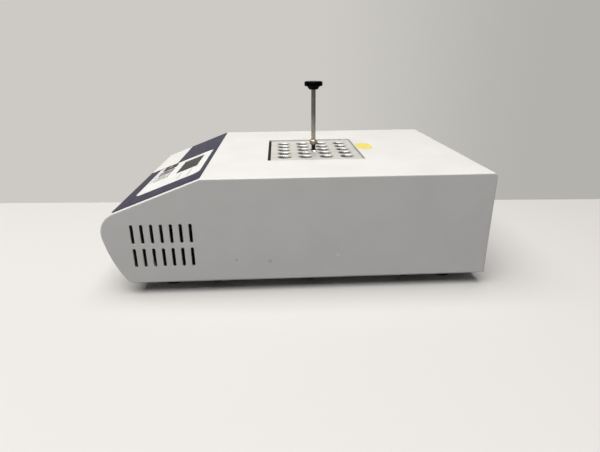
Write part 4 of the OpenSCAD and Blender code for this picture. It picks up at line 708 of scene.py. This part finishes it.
# paper label stuck on the casing behind the block, with round ends
label = {"x": (-21.7, 6.3), "y": (57.0, 71.5), "corner": 7.2, "thickness": 0.1}
bm = raisePlate(plate(*label["x"], -label["y"][1], -label["y"][0], label["corner"]), label["thickness"])
bmesh.ops.transform(
    bm, verts=bm.verts, matrix=Matrix.Scale(mm, 4) @ Matrix.Translation((0, 0, casingTop)))
addPiece(bm, "paperLabel", "chassis", ["yellowPaper"])
print("stage: label stuck on")

# stage, in metres: a pale floor that throws back less light than it shows,
# and a wall close behind, which only the camera and reflections see:
# it glows, lighter to the left and darker to the right, a painted fall-off of light
stage = {
    "floorSize": 3.0, "floorSeen": "#dbd8d4", "floorBounce": "#7c7e82", "floorRough": 0.9,
    "wallEnds": ((-0.148, -0.45), (-0.1, 0.43)), "wallHeight": 0.32, "wallFade": (0.0, 0.3),
    # the wall's colours, left and right: a painted fall-off of light
    "wallLeft": "#cdcac5", "wallRight": "#b3b2ad",
}


def makeFloorFinish():
    material = bpy.data.materials.new("paleFloor")
    material.use_nodes = True
    tree = material.node_tree
    shader = tree.nodes["Principled BSDF"]
    shader.inputs["Roughness"].default_value = stage["floorRough"]
    shader.inputs["Specular IOR Level"].default_value = 0.0
    path = addNode(tree, "ShaderNodeLightPath")
    seen = path.outputs["Is Camera Ray"]
    for ray in ("Is Glossy Ray", "Is Transmission Ray"):
        both = addNode(tree, "ShaderNodeMath", {"operation": "MAXIMUM"}, {0: seen, 1: path.outputs[ray]})
        seen = both.outputs[0]
    tone = addNode(tree, "ShaderNodeMix", {
        "data_type": "RGBA", 6: linear(stage["floorBounce"]), 7: linear(stage["floorSeen"])}, {0: seen})
    tree.links.new(tone.outputs[2], shader.inputs["Base Color"])
    return material


def makeWallFinish():
    material = bpy.data.materials.new("paintedLightWall")
    material.use_nodes = True
    tree = material.node_tree
    tree.nodes.remove(tree.nodes["Principled BSDF"])
    place = addNode(tree, "ShaderNodeTexCoord").outputs["Object"]
    along = addNode(tree, "ShaderNodeSeparateXYZ", {}, {0: place}).outputs["Y"]
    # painted light: the wall's glow falls off from left to right
    start, end = stage["wallFade"]
    fade = addNode(tree, "ShaderNodeMapRange", {
        "interpolation_type": "SMOOTHSTEP", "From Min": start, "From Max": end}, {"Value": along})
    tone = addNode(tree, "ShaderNodeMix", {
        "data_type": "RGBA", 6: linear(stage["wallLeft"]), 7: linear(stage["wallRight"])},
        {0: fade.outputs[0]})
    glow = addNode(tree, "ShaderNodeEmission", {}, {"Color": tone.outputs[2]})
    clear = addNode(tree, "ShaderNodeBsdfTransparent")  # its back, so that views from there see past it
    behind = addNode(tree, "ShaderNodeNewGeometry").outputs["Backfacing"]
    cover = addNode(tree, "ShaderNodeMixShader", {}, {0: behind, 1: glow.outputs[0], 2: clear.outputs[0]})
    tree.links.new(cover.outputs[0], tree.nodes["Material Output"].inputs["Surface"])
    return material


def stageObject(bm, name, material):
    mesh = bpy.data.meshes.new(name)
    bm.to_mesh(mesh)
    bm.free()
    mesh.materials.append(material)
    piece = bpy.data.objects.new(name, mesh)
    bpy.context.scene.collection.objects.link(piece)
    return piece


bm = bmesh.new()
bmesh.ops.create_grid(bm, x_segments=1, y_segments=1, size=stage["floorSize"])
stageObject(bm, "floor", makeFloorFinish())
bm = bmesh.new()
foot = [bm.verts.new((x, y, 0)) for x, y in stage["wallEnds"]]
raised = bmesh.ops.extrude_edge_only(bm, edges=[bm.edges.new(foot)])
lifted = [part for part in raised["geom"] if isinstance(part, bmesh.types.BMVert)]
bmesh.ops.translate(bm, verts=lifted, vec=(0, 0, stage["wallHeight"]))
bmesh.ops.reverse_faces(bm, faces=bm.faces)
wall = stageObject(bm, "wall", makeWallFinish())
wall.visible_diffuse = False
wall.visible_shadow = False
print("stage: floor and wall set")

# light, in metres: a wide soft lamp overhead, and weak ones from the viewer's side and from behind,
# in a dim room
lamps = {
    "overheadSoftbox": {"size": 2.2, "place": (0.52, -0.5, 1.8), "aim": (0.52, -0.5, 0), "watts": 58.8},
    "sideFill": {"size": 0.9, "place": (1.55, -0.6, 1.1), "aim": (0, 0, 0.06), "watts": 0.8},
    "rearFill": {"size": 1.6, "place": (-1.6, 1.2, 0.9), "aim": (0, 0, 0.06), "watts": 4},
}
room = {"colour": "#8f8f91", "strength": 0.16}
for name, made in lamps.items():
    lamp = bpy.data.lights.new(name, "AREA")
    lamp.shape = "SQUARE"
    lamp.size = made["size"]
    lamp.energy = made["watts"]
    holder = bpy.data.objects.new(name, lamp)
    holder.location = made["place"]
    aim = Vector(made["aim"]) - Vector(made["place"])
    holder.rotation_euler = aim.to_track_quat("-Z", "Y").to_euler()
    bpy.context.scene.collection.objects.link(holder)
world = bpy.data.worlds.new("dimRoom")
world.use_nodes = True
world.node_tree.nodes["Background"].inputs["Color"].default_value = linear(room["colour"])
world.node_tree.nodes["Background"].inputs["Strength"].default_value = room["strength"]
bpy.context.scene.world = world
bpy.context.scene.view_settings.view_transform = "Standard"
print("stage: lit")
